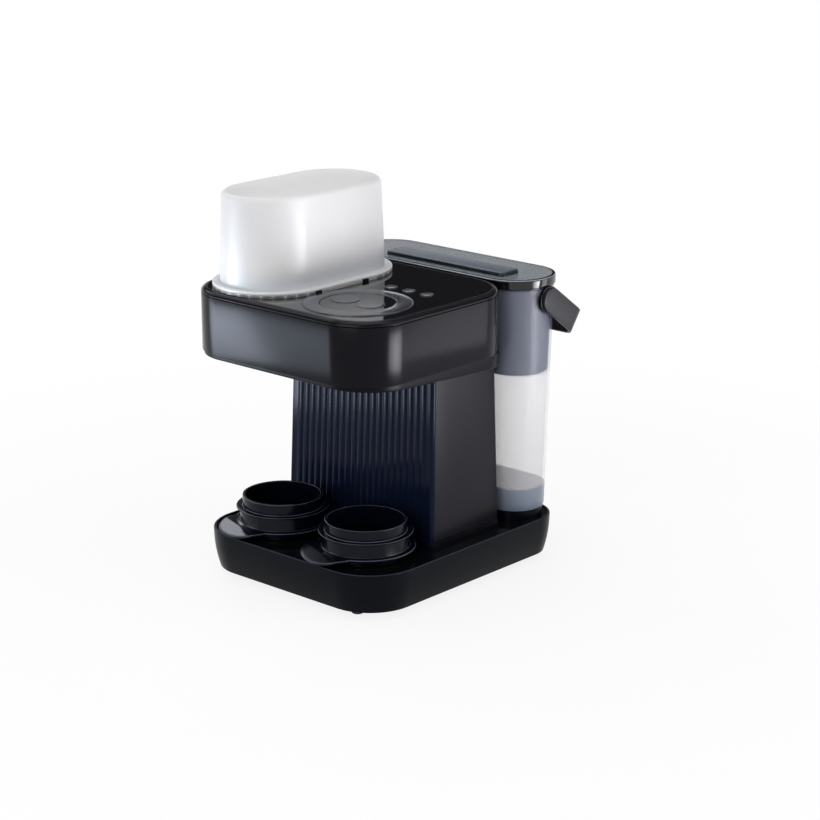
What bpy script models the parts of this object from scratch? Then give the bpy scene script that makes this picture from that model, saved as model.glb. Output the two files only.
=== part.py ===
"""Baby formula maker: base, column and head in one C-shaped body, with a powder hopper under a
frosted cover, a lift-off water tank with a bail handle behind, and two bottle stands in front.

Lengths are in metres, +Z is up and -Y is the front. The origin is on the resting surface, under
the middle of the machine."""
import math

import bmesh
import bpy

for old_object in list(bpy.data.objects):
    bpy.data.objects.remove(old_object, do_unlink=True)

model = bpy.data.collections.new("Baby formula maker")
cutters = bpy.data.collections.new("Cutters")
bpy.context.scene.collection.children.link(model)
bpy.context.scene.collection.children.link(cutters)

# Driving dimensions
gap = 0.0003
overrun = 0.002
weld_distance = 0.000001
wall = 0.0025
thin_wall = 0.0018
foot_height = 0.0072
base_height = 0.0378
bay_height = 0.1757
head_height = 0.0543
bezel_height = 0.005
head_width = 0.235
hopper_margin = 0.005
hopper_length = 0.1915
hopper_rear_margin = 0.011
head_front_radius = 0.047
head_rear_radius = 0.050
lid_depth = 0.0757
tank_draft = 0.0065
bail_width = 0.0236
bail_thickness = 0.003
bail_angle = math.radians(36)
pivot_back = 0.0029
corner_steps = 8
round_steps = 32

# Levels
z_base = foot_height
z_rim = z_base + base_height
z_head = z_rim + bay_height
z_bezel = z_head + head_height
z_panel = z_bezel + bezel_height

# The tank, its lid and its bail fill the depth behind the head
head_half = head_width / 2
lid_half = head_half
body_inset_front = 0.0026
body_inset_side = 0.001
tank_half = lid_half - body_inset_side
tank_half_depth = lid_depth / 2 - body_inset_front
bail_lift = bail_width / 2 * math.sin(bail_angle)
bail_inner = (tank_half_depth - pivot_back + gap + bail_lift) / math.cos(bail_angle)
bail_length = bail_inner + bail_thickness
bail_reach = pivot_back + bail_length * math.cos(bail_angle) + bail_lift
head_depth = hopper_margin + hopper_length + hopper_rear_margin
total_depth = head_depth + gap + lid_depth / 2 + bail_reach
y_front = -total_depth / 2
y_back = y_front + head_depth
y_tank = y_back + gap + lid_depth / 2
y_pivot = y_tank + pivot_back


def new_material(name, colour, roughness, metallic=0.0, alpha=1.0):
    """A Principled material with one colour and finish."""
    material = bpy.data.materials.new(name)
    material.use_nodes = True
    shader = material.node_tree.nodes["Principled BSDF"]
    shader.inputs["Base Color"].default_value = (*colour, 1.0)
    shader.inputs["Roughness"].default_value = roughness
    shader.inputs["Metallic"].default_value = metallic
    shader.inputs["Alpha"].default_value = alpha
    return material


gloss_black = new_material("gloss_black", (0.012, 0.013, 0.018), 0.12)
satin_black = new_material("satin_black", (0.022, 0.024, 0.032), 0.35)
graphite = new_material("graphite", (0.075, 0.080, 0.095), 0.33)
side_grey = new_material("side_grey", (0.045, 0.044, 0.052), 0.45)
dial_grey = new_material("dial_grey", (0.09, 0.10, 0.13), 0.38)
frosted_white = new_material("frosted_white", (0.80, 0.82, 0.85), 0.42, alpha=0.85)
frosted_clear = new_material("frosted_clear", (0.62, 0.64, 0.68), 0.40, alpha=0.6)
lid_grey = new_material("lid_grey", (0.20, 0.21, 0.23), 0.30)
white_plastic = new_material("white_plastic", (0.78, 0.78, 0.76), 0.4)
grey_plastic = new_material("grey_plastic", (0.30, 0.31, 0.33), 0.5)
rubber = new_material("rubber", (0.02, 0.02, 0.02), 0.8)
silicone = new_material("silicone", (0.55, 0.55, 0.53), 0.6)
steel = new_material("steel", (0.62, 0.62, 0.62), 0.3, 1.0)
board_green = new_material("board_green", (0.03, 0.16, 0.07), 0.5)


def finish(name, mesh, material, at=(0, 0, 0), collection=model):
    """Put a mesh in a collection as a named object with its material."""
    piece = bpy.data.objects.new(name, mesh)
    piece.location = at
    collection.objects.link(piece)
    if material:
        mesh.materials.append(material)
    if collection is cutters:
        piece.hide_render = True
        piece.display_type = "WIRE"
    return piece


def smooth(mesh, angle=math.radians(35)):
    mesh.shade_smooth()
    mesh.set_sharp_from_angle(angle=angle)


def hang(piece, pivot):
    """Parent a piece to the empty on its joint's axis, keeping its place."""
    piece.parent = pivot
    piece.location = [a - b for a, b in zip(piece.location, pivot.location)]
    return piece


def axis_empty(name, at):
    empty = bpy.data.objects.new(name, None)
    empty.location = at
    model.objects.link(empty)
    return empty


def rounded(half_width, front, rear, front_radius, rear_radius, steps=corner_steps):
    """Outline of a rectangle with round corners, anticlockwise from its front right corner."""
    limit = min(half_width, (rear - front) / 2)
    corners = ((1, -1, front_radius), (1, 1, rear_radius), (-1, 1, rear_radius), (-1, -1, front_radius))
    points = []
    for index, (side, end, radius) in enumerate(corners):
        radius = min(radius, limit)
        x = side * (half_width - radius)
        y = rear - radius if end > 0 else front + radius
        start = (index - 1) * math.pi / 2
        for step in range(steps + 1):
            angle = start + step / steps * math.pi / 2
            points.append((x + radius * math.cos(angle), y + radius * math.sin(angle)))
    return points


def stadium(half_width, front, rear, steps=corner_steps):
    """Outline whose shorter ends are full half circles."""
    return rounded(half_width, front, rear, half_width, half_width, steps)


def at_level(outline, z):
    return [(x, y, z) for x, y in outline]


def move(outline, dx, dy):
    return [(x + dx, y + dy) for x, y in outline]


def loft(name, rings, material, closed=False, start=True, end=True, flat=False, at=(0, 0, 0),
         collection=model):
    """Skin between rings of equally many points; the first and last may be capped, twisted faces split."""
    mesh = bpy.data.meshes.new(name)
    bm = bmesh.new()
    rows = [[bm.verts.new(point) for point in ring] for ring in rings]
    count = len(rows[0])
    pairs = list(zip(rows, rows[1:]))
    if closed:
        pairs.append((rows[-1], rows[0]))
    for low, high in pairs:
        for i in range(count):
            j = (i + 1) % count
            bm.faces.new((low[i], low[j], high[j], high[i]))
    if start and not closed:
        bm.faces.new(rows[0])
    if end and not closed:
        bm.faces.new(rows[-1])
    bmesh.ops.remove_doubles(bm, verts=bm.verts, dist=weld_distance)
    bmesh.ops.dissolve_degenerate(bm, edges=bm.edges, dist=weld_distance)
    if flat:
        bmesh.ops.triangulate(bm, faces=[face for face in bm.faces if len(face.verts) == 4])
    bmesh.ops.recalc_face_normals(bm, faces=bm.faces)
    bm.to_mesh(mesh)
    bm.free()
    smooth(mesh)
    return finish(name, mesh, material, at, collection)


def solidify(piece, thickness):
    """Give an open surface its wall, inwards from the modelled face."""
    modifier = piece.modifiers.new("Wall", "SOLIDIFY")
    modifier.thickness = thickness
    modifier.offset = -1
    modifier.use_even_offset = True
    return piece


def plate(name, outlines, thickness, material, at=(0, 0, 0), rotation=(0, 0, 0), collection=model):
    """Flat plate from a filled 2D curve, centred in its thickness; later outlines are holes."""
    curve = bpy.data.curves.new(name, "CURVE")
    curve.dimensions = "2D"
    curve.fill_mode = "BOTH"
    curve.extrude = thickness / 2
    for outline in outlines:
        spline = curve.splines.new("POLY")
        spline.points.add(len(outline) - 1)
        for point, (x, y) in zip(spline.points, outline):
            point.co = (x, y, 0, 1)
        spline.use_cyclic_u = True
    return curve_to_mesh(name, curve, material, at, rotation, collection)


def curve_to_mesh(name, curve, material, at, rotation=(0, 0, 0), collection=model):
    """Turn a curve into a welded mesh object, so that it can be cut and joined."""
    source = bpy.data.objects.new(name + "_curve", curve)
    bpy.context.scene.collection.objects.link(source)
    depsgraph = bpy.context.evaluated_depsgraph_get()
    mesh = bpy.data.meshes.new_from_object(source.evaluated_get(depsgraph))
    bpy.data.objects.remove(source, do_unlink=True)
    bm = bmesh.new()
    bm.from_mesh(mesh)
    bmesh.ops.remove_doubles(bm, verts=bm.verts, dist=weld_distance)
    bmesh.ops.recalc_face_normals(bm, faces=bm.faces)
    bm.to_mesh(mesh)
    bm.free()
    mesh.name = name
    mesh.materials.clear()
    smooth(mesh)
    piece = finish(name, mesh, material, at, collection)
    piece.rotation_euler = rotation
    return piece


def circle(radius, steps=round_steps, x=0, y=0):
    angles = [2 * math.pi * step / steps for step in range(steps)]
    return [(x + radius * math.cos(a), y + radius * math.sin(a)) for a in angles]


def cylinder(name, radius, length, material, at=(0, 0, 0), axis="Z", steps=round_steps, collection=model):
    """Round bar centred on its location, along the named axis."""
    mesh = bpy.data.meshes.new(name)
    bm = bmesh.new()
    bmesh.ops.create_cone(bm, cap_ends=True, segments=steps, radius1=radius, radius2=radius, depth=length)
    bm.to_mesh(mesh)
    bm.free()
    smooth(mesh)
    piece = finish(name, mesh, material, at, collection)
    piece.rotation_euler = {"X": (0, math.pi / 2, 0), "Y": (math.pi / 2, 0, 0), "Z": (0, 0, 0)}[axis]
    return piece


def box(name, size, material, at=(0, 0, 0), bevel=0.0, collection=model):
    """Box centred on its location, with rounded edges where a bevel is given."""
    mesh = bpy.data.meshes.new(name)
    bm = bmesh.new()
    bmesh.ops.create_cube(bm, size=1)
    bmesh.ops.scale(bm, vec=size, verts=bm.verts)
    bm.to_mesh(mesh)
    bm.free()
    piece = finish(name, mesh, material, at, collection)
    if bevel:
        modifier = piece.modifiers.new("Rounded edges", "BEVEL")
        modifier.width = bevel
        modifier.segments = 2
    return piece


def turned(name, profile, material, at=(0, 0, 0), closed=True, steps=round_steps, collection=model):
    """Turn a profile of radius and height about Z; it runs down its outer side."""
    mesh = bpy.data.meshes.new(name)
    edges = [(i, i + 1) for i in range(len(profile) - 1)]
    if closed:
        edges.append((len(profile) - 1, 0))
    mesh.from_pydata([(radius, 0, z) for radius, z in profile], edges, [])
    piece = finish(name, mesh, material, at, collection)
    screw = piece.modifiers.new("Turn", "SCREW")
    screw.steps = steps
    screw.render_steps = steps
    screw.use_merge_vertices = True
    screw.merge_threshold = weld_distance
    screw.use_smooth_shade = True
    return piece


def tube(name, points, radius, material, collection=model):
    """Round pipe along a smooth curve through its points, which stay where they are."""
    curve = bpy.data.curves.new(name, "CURVE")
    curve.dimensions = "3D"
    curve.bevel_depth = radius
    curve.bevel_resolution = 2
    curve.use_fill_caps = True
    spline = curve.splines.new("POLY")
    route = rounded_route(points, pipe_bend)
    spline.points.add(len(route) - 1)
    for point, place in zip(spline.points, route):
        point.co = (*place, 1)
    return curve_to_mesh(name, curve, material, (0, 0, 0), collection=collection)


def rounded_route(points, bend, steps=4):
    """Straight runs between the points, with each corner rounded off by a quadratic curve."""
    route = [points[0]]
    for before, corner, after in zip(points, points[1:], points[2:]):
        first = toward(corner, before, bend)
        last = toward(corner, after, bend)
        for step in range(steps + 1):
            t = step / steps
            route.append([(1 - t) ** 2 * a + 2 * t * (1 - t) * b + t * t * c
                          for a, b, c in zip(first, corner, last)])
    route.append(points[-1])
    return route


def toward(start, end, distance):
    length = math.dist(start, end)
    share = min(distance / length, 0.5)
    return [a + (b - a) * share for a, b in zip(start, end)]


def cut(piece, *tools):
    for tool in tools:
        modifier = piece.modifiers.new("Cut " + tool.name, "BOOLEAN")
        modifier.operation = "DIFFERENCE"
        modifier.solver = "EXACT"
        modifier.object = tool
    return piece


def join(piece, *tools):
    for tool in tools:
        modifier = piece.modifiers.new("Join " + tool.name, "BOOLEAN")
        modifier.operation = "UNION"
        modifier.solver = "EXACT"
        modifier.object = tool
    return piece


pipe_bend = 0.012

# Plan of the base: the column's foot, the bottle stands close in front of it, and a margin to the edge
head_overhang = 0.1177
column_front_flare = 0.0056
stand_plate_radius = 0.0462
stand_gap = 0.0004
base_front_margin = 0.0124
column_front = y_front + head_overhang
column_foot_front = column_front - column_front_flare
stand_y = column_foot_front - stand_gap - stand_plate_radius

# Base: an open bowl that curves in towards its bottom edge, closed by a screwed plate
base_rear_margin = 0.004
base_flare = 0.0055
base_front_radius = 0.050
base_rear_radius = 0.036
base_front = stand_y - stand_plate_radius - base_front_margin
base_rear = y_tank + lid_depth / 2 - base_rear_margin
base_level_shares = (0.0, 0.04, 0.45, 0.75, 0.92, 1.0)
base_curve_power = 2.2
rim_round = 0.0006


def base_outline(inset, front=base_front, rear=base_rear):
    return rounded(head_half - inset, front + inset, rear - inset,
                   base_front_radius - inset, base_rear_radius - inset)


def base_inset(depth_share):
    """How far the wall has curved in at a share of the way down."""
    return base_flare * min(depth_share, 1.0) ** base_curve_power


base_rings = []
for share in base_level_shares:
    lip = rim_round if share == 0.0 else 0.0
    base_rings.append(at_level(base_outline(base_inset(share) + lip), z_rim - share * base_height))
base_shell = loft("base_shell", base_rings, satin_black, start=False, end=False)
solidify(base_shell, wall)

plate_inset = base_inset(1.0) + wall + gap * 2
plate_thickness = wall
z_plate = z_base + plate_thickness
base_plate = plate("base_plate", [base_outline(plate_inset)], plate_thickness, grey_plastic,
                   at=(0, 0, z_base + plate_thickness / 2))

# Feet: four soft studs under the corners of the bottom plate
foot_radius = 0.006
foot_side = 0.075
foot_front_margin = 0.0245
foot_rear_margin = 0.031
foot_front = base_front + foot_front_margin
foot_rear = base_rear - foot_rear_margin
foot_places = [(side * foot_side, y) for side in (-1, 1) for y in (foot_front, foot_rear)]
foot_chamfer = 0.0008
foot_profile = [(0, foot_height - gap), (foot_radius, foot_height - gap), (foot_radius, foot_chamfer),
                (foot_radius - foot_chamfer, 0), (0, 0)]
foot_names = ("foot_front_left", "foot_rear_left", "foot_front_right", "foot_rear_right")
for name, (x, y) in zip(foot_names, foot_places):
    turned(name, foot_profile, rubber, at=(x, y, 0), closed=False, steps=16)

# Column: the shell stands on the rear deck, with a ribbed panel in front and a cover on each side
column_half = 0.0893
column_setback = 0.0033
column_rear = y_back - column_setback
column_side_flare = 0.003
column_rear_flare = 0.004
splash_thickness = 0.004
side_thickness = 0.002
column_corner = 0.0035
plinth_height = 0.0048
deck_drop = 0.0015
deck_thickness = 0.0035
z_deck = z_rim - deck_drop
chin_front_height = 0.0037
chin_rear_height = 0.0147
z_column_top = z_head - chin_rear_height
column_height = z_column_top - z_deck


def underside(y):
    """Height of the head's sloping underside at a depth."""
    along = (y - y_front) / head_depth
    return z_head - chin_front_height - (chin_rear_height - chin_front_height) * along


def column_size(z):
    """Half width, front and rear of the column at a height; it spreads towards its foot."""
    down = 1 - (z - z_deck) / column_height
    return (column_half + column_side_flare * down, column_front - column_front_flare * down,
            column_rear + column_rear_flare * down)


def under_head(outline):
    return [(x, y, underside(y) - gap) for x, y in outline]


def column_ring(z, side_inset, front_inset, top=False):
    half, front, rear = column_size(z)
    outline = rounded(half - side_inset, front + front_inset, rear, column_corner, column_corner, 3)
    return under_head(outline) if top else at_level(outline, z)


shell_inset = side_thickness + gap
splash_inset = splash_thickness + gap
column_shell = loft("column_shell", [column_ring(z_deck + gap, shell_inset, splash_inset),
                                     column_ring(z_column_top, shell_inset, splash_inset, top=True)],
                    satin_black, start=False, end=False)
solidify(column_shell, wall)

# Splash panel: a row of upright reeds between two plain rounded margins
rib_count = 21
rib_field_share = 0.91
rib_depth = 0.0009
rib_steps = 4
splash_round = 0.0034
splash_round_steps = 4


def splash_corner(side, front, half):
    """The quarter round at one side of the panel, from its edge towards the reeds."""
    corner = []
    for step in range(splash_round_steps + 1):
        angle = step / splash_round_steps * math.pi / 2
        corner.append((side * (half - splash_round * (1 - math.cos(angle))),
                       front + splash_round * (1 - math.sin(angle))))
    return corner


def splash_outline(half, front):
    """Half-round reeds in a row, each a hump of a sine, with grooves rib_depth deep between."""
    field = half * rib_field_share
    points = splash_corner(-1, front, half)
    for step in range(rib_count * rib_steps + 1):
        along = step / (rib_count * rib_steps)
        wave = abs(math.sin(math.pi * step / rib_steps))
        points.append((-field + 2 * field * along, front + rib_depth * (1 - wave)))
    points += reversed(splash_corner(1, front, half))
    points += [(half, front + splash_thickness), (-half, front + splash_thickness)]
    return points


foot_half, foot_line, foot_back = column_size(z_deck)
splash_panel = loft("splash_panel", [at_level(splash_outline(foot_half, foot_line), z_deck + gap),
                                     under_head(splash_outline(column_half, column_front))], gloss_black)

# Side panels, above the kerb of the rear deck
z_plinth = z_deck + gap + plinth_height


def side_ring(z, side, top=False):
    half, front, rear = column_size(z)
    outline = [(side * (half - side_thickness), front + splash_inset), (side * half, front + splash_inset),
               (side * half, rear), (side * (half - side_thickness), rear)]
    return under_head(outline) if top else at_level(outline, z)


for name, side in (("side_panel_left", -1), ("side_panel_right", 1)):
    loft(name, [side_ring(z_plinth + gap, side), side_ring(z_column_top, side, top=True)], side_grey)

# Rear deck: carries the column and the tank's dock, and stands on three screwed bosses
deck_inset = base_inset(deck_drop / base_height) + wall + rim_round + gap
deck_hole_margin = 0.014
deck_front = column_foot_front + gap


def deck_outline(front, rear, front_radius, rear_radius):
    return rounded(head_half - deck_inset, front, rear, front_radius, rear_radius)


shaft_hole = rounded(foot_half - deck_hole_margin, foot_line + splash_inset + deck_hole_margin / 2,
                     foot_back - deck_hole_margin / 2, column_corner, column_corner, 2)
dock_bore = 0.010
square_corner = 0.001
rear_deck = plate("rear_deck", [deck_outline(deck_front, base_rear - deck_inset, square_corner,
                                             base_rear_radius - deck_inset),
                                shaft_hole, circle(dock_bore, 24, 0, y_tank)],
                  deck_thickness, gloss_black, at=(0, 0, z_deck - deck_thickness / 2))

boss_radius = 0.005
screw_radius = 0.0015
screw_head_radius = 0.0031
screw_head_height = 0.0016
screw_reach = 0.010
boss_places = [(-foot_half - boss_radius, deck_front + 4 * boss_radius),
               (foot_half + boss_radius, deck_front + 4 * boss_radius),
               (3 * dock_bore, y_tank + dock_bore)]
for side in (-1, 1):
    kerb_rings = [side_ring(z_deck - deck_thickness / 2, side), side_ring(z_plinth, side)]
    join(rear_deck, loft("kerb_%d" % side, kerb_rings, None, collection=cutters))
boss_height = z_deck - deck_thickness - z_plate - gap
for index, (x, y) in enumerate(boss_places):
    boss = cylinder("deck_boss_%d" % index, boss_radius, boss_height + overrun, None,
                    at=(x, y, z_plate + gap + (boss_height + overrun) / 2), steps=16, collection=cutters)
    join(rear_deck, boss)
    bore = cylinder("boss_bore_%d" % index, screw_radius + gap, 2 * (screw_reach + overrun), None,
                    at=(x, y, z_base), steps=12, collection=cutters)
    cut(rear_deck, bore)
    sink = cylinder("screw_sink_%d" % index, screw_head_radius + gap, 2 * (screw_head_height + gap), None,
                    at=(x, y, z_base), steps=16, collection=cutters)
    cut(base_plate, bore, sink)


screw_profile = [(0, screw_reach), (screw_radius, screw_reach), (screw_radius, screw_head_height),
                 (screw_head_radius, screw_head_height), (screw_head_radius, 0), (0, 0)]
for index, (x, y) in enumerate(boss_places):
    turned("base_screw_%d" % (index + 1), screw_profile, steel, at=(x, y, z_base), closed=False, steps=16)

# Drip tray: the front deck, which lifts out with the stands; its wells locate them
stand_x = 0.0537
well_depth = 0.0015
seat_radius = 0.036
well_radius = seat_radius + 2 * gap
tray_leg_radius = 0.004
tray_leg_side = 0.085
tray_rear = column_foot_front - gap
drip_tray = plate("drip_tray", [deck_outline(base_front + deck_inset, tray_rear,
                                             base_front_radius - deck_inset, square_corner)],
                  deck_thickness, gloss_black, at=(0, 0, z_deck - deck_thickness / 2))
tray_leg_height = z_deck - deck_thickness - z_plate - gap
for index, (x, y) in enumerate([(side * tray_leg_side, y) for side in (-1, 1)
                                for y in (stand_y - seat_radius / 2, stand_y + seat_radius / 2)]):
    join(drip_tray, cylinder("tray_leg_%d" % index, tray_leg_radius, tray_leg_height + overrun, None,
                             at=(x, y, z_plate + gap + (tray_leg_height + overrun) / 2),
                             steps=12, collection=cutters))
for side in (-1, 1):
    cut(drip_tray, cylinder("well_%d" % side, well_radius, 2 * well_depth, None,
                            at=(side * stand_x, stand_y, z_deck), steps=40, collection=cutters))

# Bottle stands: a cup on a round plate with a finger tab that slopes down to the front
stand_plate_height = 0.0085
stand_plate_thickness = 0.0025
tab_reach = 0.0625
tab_drop = 0.0035
tab_angle = math.radians(-108)
tab_half_angle = math.radians(42)
cup_radius = 0.0405
cup_wall = 0.0022
cup_height = 0.0125
cup_floor = 0.003
tab_start = cup_radius + cup_wall
tab_slope = tab_drop / (tab_reach - stand_plate_radius)
stand_steps = 40
z_well = z_deck - well_depth
z_stand = z_deck + stand_plate_height


def tab_radius(angle):
    turn = abs((angle - tab_angle + math.pi) % (2 * math.pi) - math.pi) / tab_half_angle
    return stand_plate_radius + (tab_reach - stand_plate_radius) * max(0.0, 1 - turn ** 3)


def fold_radius(angle):
    """Radius to the line across the tab where it starts to slope, or to the plate's edge beside it."""
    forward = math.cos(angle - tab_angle)
    return min(tab_radius(angle), stand_plate_radius / forward) if forward > 0 else stand_plate_radius


def polar_ring(radius, z):
    """Ring of points about the stand's axis; what lies beyond the fold line slopes down in one plane."""
    ring = []
    for step in range(stand_steps):
        angle = 2 * math.pi * step / stand_steps
        reach = radius(angle) if callable(radius) else radius
        ahead = reach * math.cos(angle - tab_angle) - stand_plate_radius
        ring.append((reach * math.cos(angle), reach * math.sin(angle), z - tab_slope * max(0.0, ahead)))
    return ring


collar_wall = 0.0024
pad_margin = 0.0011
pad_depth = 0.0005
z_cup = z_stand + cup_height
z_plate_under = z_stand - stand_plate_thickness
z_cup_floor = z_well + gap + cup_floor
cup_inner = cup_radius - cup_wall
collar_radius = cup_inner - gap
collar_inner = collar_radius - collar_wall
pad_radius = collar_inner - pad_margin
stand_rings = [polar_ring(seat_radius, z_well + gap), polar_ring(seat_radius, z_plate_under),
               polar_ring(tab_start, z_plate_under), polar_ring(fold_radius, z_plate_under),
               polar_ring(tab_radius, z_plate_under), polar_ring(tab_radius, z_stand),
               polar_ring(fold_radius, z_stand), polar_ring(tab_start, z_stand),
               polar_ring(cup_radius, z_stand), polar_ring(cup_radius, z_cup), polar_ring(cup_inner, z_cup),
               polar_ring(cup_inner, z_cup_floor), polar_ring(pad_radius, z_cup_floor),
               polar_ring(pad_radius, z_cup_floor - pad_depth)]

# Collars: drop into the cups and hold the bottle; their flange rests on the cup's edge
collar_flange = 0.0035
collar_flange_height = 0.0018
collar_neck = 0.0105
collar_depth = 0.008
collar_round = 0.0006
z_collar = z_cup + gap
z_flange = z_collar + collar_flange_height
z_neck = z_flange + collar_neck
flange_radius = cup_radius + collar_flange
collar_profile = [(collar_inner, z_neck), (collar_radius - collar_round, z_neck),
                  (collar_radius, z_neck - collar_round), (collar_radius, z_flange),
                  (flange_radius - collar_round, z_flange), (flange_radius, z_flange - collar_round),
                  (flange_radius, z_collar), (collar_radius, z_collar),
                  (collar_radius, z_collar - collar_depth), (collar_inner, z_collar - collar_depth)]
for name, side in (("left", -1), ("right", 1)):
    pivot = axis_empty("stand_axis_" + name, (side * stand_x, stand_y, 0))
    seat = (side * stand_x, stand_y, 0)
    hang(loft("stand_base_" + name, stand_rings, satin_black, flat=True, at=seat), pivot)
    hang(turned("stand_collar_" + name, collar_profile, satin_black, at=seat, steps=stand_steps), pivot)

# Head: graphite band, open above and below
head_lip = 0.0005


def head_outline(inset, steps=corner_steps):
    return rounded(head_half - inset, y_front + inset, y_back - inset,
                   head_front_radius - inset, head_rear_radius - inset, steps)


head_shell = loft("head_shell", [at_level(head_outline(head_lip), z_head),
                                 at_level(head_outline(0), z_head + head_lip),
                                 at_level(head_outline(0), z_bezel - head_lip),
                                 at_level(head_outline(head_lip), z_bezel)],
                  graphite, start=False, end=False)
solidify(head_shell, wall)

# Head underside: a sloping pan that closes the band and sits on the column
chin_inset = 0.0018
chin_rear_radius = 0.046
chin_overhang = 0.001
chin_floor = 0.0025
chin_round = 0.0008


def chin_outline(inset):
    all_round = chin_inset + inset
    return rounded(head_half - all_round, y_front + all_round, y_back + chin_overhang - inset,
                   head_front_radius - all_round, chin_rear_radius - inset)


def on_slope(outline, lift):
    return [(x, y, underside(y) + lift) for x, y in outline]


head_underside = loft("head_underside", [on_slope(chin_outline(chin_round), 0),
                                         on_slope(chin_outline(0), chin_round),
                                         at_level(chin_outline(0), z_head - gap),
                                         at_level(chin_outline(wall), z_head - gap),
                                         on_slope(chin_outline(wall), chin_floor)], satin_black)

# Powder train: where the hopper empties on to the toothed wheel, and the wheel into the chute
wheel_teeth = 50
pinion_teeth = 14
tooth_module = 0.0015
pocket_count = 6
pocket_radius = 0.0065
pocket_circle = 0.024
wheel_thickness = 0.010
wheel_x = -stand_x
wheel_y = stand_y + pocket_circle
gear_distance = (wheel_teeth + pinion_teeth) / 2 * tooth_module
pinion_x = wheel_x + gear_distance
chute_floor = 0.0025
chute_rise = 0.006
z_chute = underside(y_front) + chute_rise
z_wheel = z_chute + chute_floor + gap
z_bowl = z_wheel + wheel_thickness + gap
bowl_floor = 0.0025
shaft_radius = 0.003
chute_radius = 0.009
chute_wall = 0.0015
chute_drop = 0.005
backlash = 0.00012
gear_root_share = 1.15
gear_tip_share = 0.85
root_width_share = 1.45
tip_width_share = 0.45


def gear_outline(teeth, phase=0.0):
    """Straight-flanked teeth about the pitch circle, with a little backlash."""
    pitch = teeth / 2 * tooth_module
    root = pitch - gear_root_share * tooth_module
    tip = pitch + gear_tip_share * tooth_module
    half = math.pi / teeth / 2 - backlash / pitch
    points = []
    for tooth in range(teeth):
        centre = (tooth + phase) * 2 * math.pi / teeth
        for radius, offset in ((root, -half * root_width_share), (tip, -half * tip_width_share),
                               (tip, half * tip_width_share), (root, half * root_width_share)):
            points.append((radius * math.cos(centre + offset), radius * math.sin(centre + offset)))
    return points


wheel_axis = axis_empty("wheel_axis", (wheel_x, wheel_y, z_wheel))
pockets = [circle(pocket_radius, 14, pocket_circle * math.cos(a), pocket_circle * math.sin(a))
           for a in (2 * math.pi * k / pocket_count + math.pi / 2 for k in range(pocket_count))]
wheel_outlines = [gear_outline(wheel_teeth), circle(shaft_radius + gap, 16)] + pockets
hang(plate("dosing_wheel", wheel_outlines, wheel_thickness, white_plastic,
           at=(wheel_x, wheel_y, z_wheel + wheel_thickness / 2)), wheel_axis)

stirrer_height = 0.005
shaft_top = z_bowl + bowl_floor + gap + stirrer_height
shaft_bottom = z_chute - chute_floor
stirrer_reach = 0.017
stirrer_hub = 0.006
arm_width = 0.0036
stirrer_points = []
for arm in range(3):
    middle = arm * 2 * math.pi / 3
    spread = math.asin(arm_width / 2 / stirrer_reach)
    between = math.pi / 3
    for reach, turn in ((stirrer_reach, -spread), (stirrer_reach, spread), (stirrer_hub, between)):
        stirrer_points.append((reach * math.cos(middle + turn), reach * math.sin(middle + turn)))
stirrer = plate("stirrer", [stirrer_points], stirrer_height, white_plastic,
                at=(wheel_x, wheel_y, z_bowl + bowl_floor + gap + stirrer_height / 2))
join(stirrer, cylinder("stirrer_shaft", shaft_radius, shaft_top + overrun - shaft_bottom, None,
                       at=(wheel_x, wheel_y, (shaft_top + overrun + shaft_bottom) / 2), steps=16,
                       collection=cutters))
hang(stirrer, wheel_axis)

# Pinion on its motor: both gears have axes up, and the pinion's gap faces the wheel's tooth
motor_radius = 0.011
motor_height = 0.018
motor_shaft_radius = 0.002
ear_half = 0.021
ear_width = 0.008
ear_thickness = 0.0022
pinion_axis = axis_empty("pinion_axis", (pinion_x, wheel_y, z_wheel))
pinion_phase = (pinion_teeth / 2 - 0.5) % 1
pinion = plate("drive_pinion", [gear_outline(pinion_teeth, pinion_phase)], wheel_thickness, grey_plastic,
               at=(pinion_x, wheel_y, z_wheel + wheel_thickness / 2))
motor_rise = 0.002
z_motor = z_wheel + wheel_thickness + motor_rise
spindle = cylinder("pinion_spindle", motor_shaft_radius, motor_rise + overrun - gap, None,
                   at=(pinion_x, wheel_y, z_motor - gap - (motor_rise + overrun - gap) / 2), steps=12,
                   collection=cutters)
join(pinion, spindle)
hang(pinion, pinion_axis)
gear_motor = cylinder("gear_motor", motor_radius, motor_height, steel,
                      at=(pinion_x, wheel_y, z_motor + motor_height / 2), steps=24)
ears = box("motor_ears", (ear_width, 2 * ear_half, ear_thickness), None,
           at=(pinion_x, wheel_y, z_motor + ear_thickness / 2), collection=cutters)
join(gear_motor, ears)
post_radius = 0.003
for end in (-1, 1):
    post_y = wheel_y + end * (ear_half - post_radius)
    post_foot = underside(post_y) + chin_floor / 2
    post_top = z_motor - gap
    post = cylinder("motor_post_%d" % end, post_radius, post_top - post_foot, None,
                    at=(pinion_x, post_y, (post_top + post_foot) / 2), steps=12, collection=cutters)
    join(head_underside, post)

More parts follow.
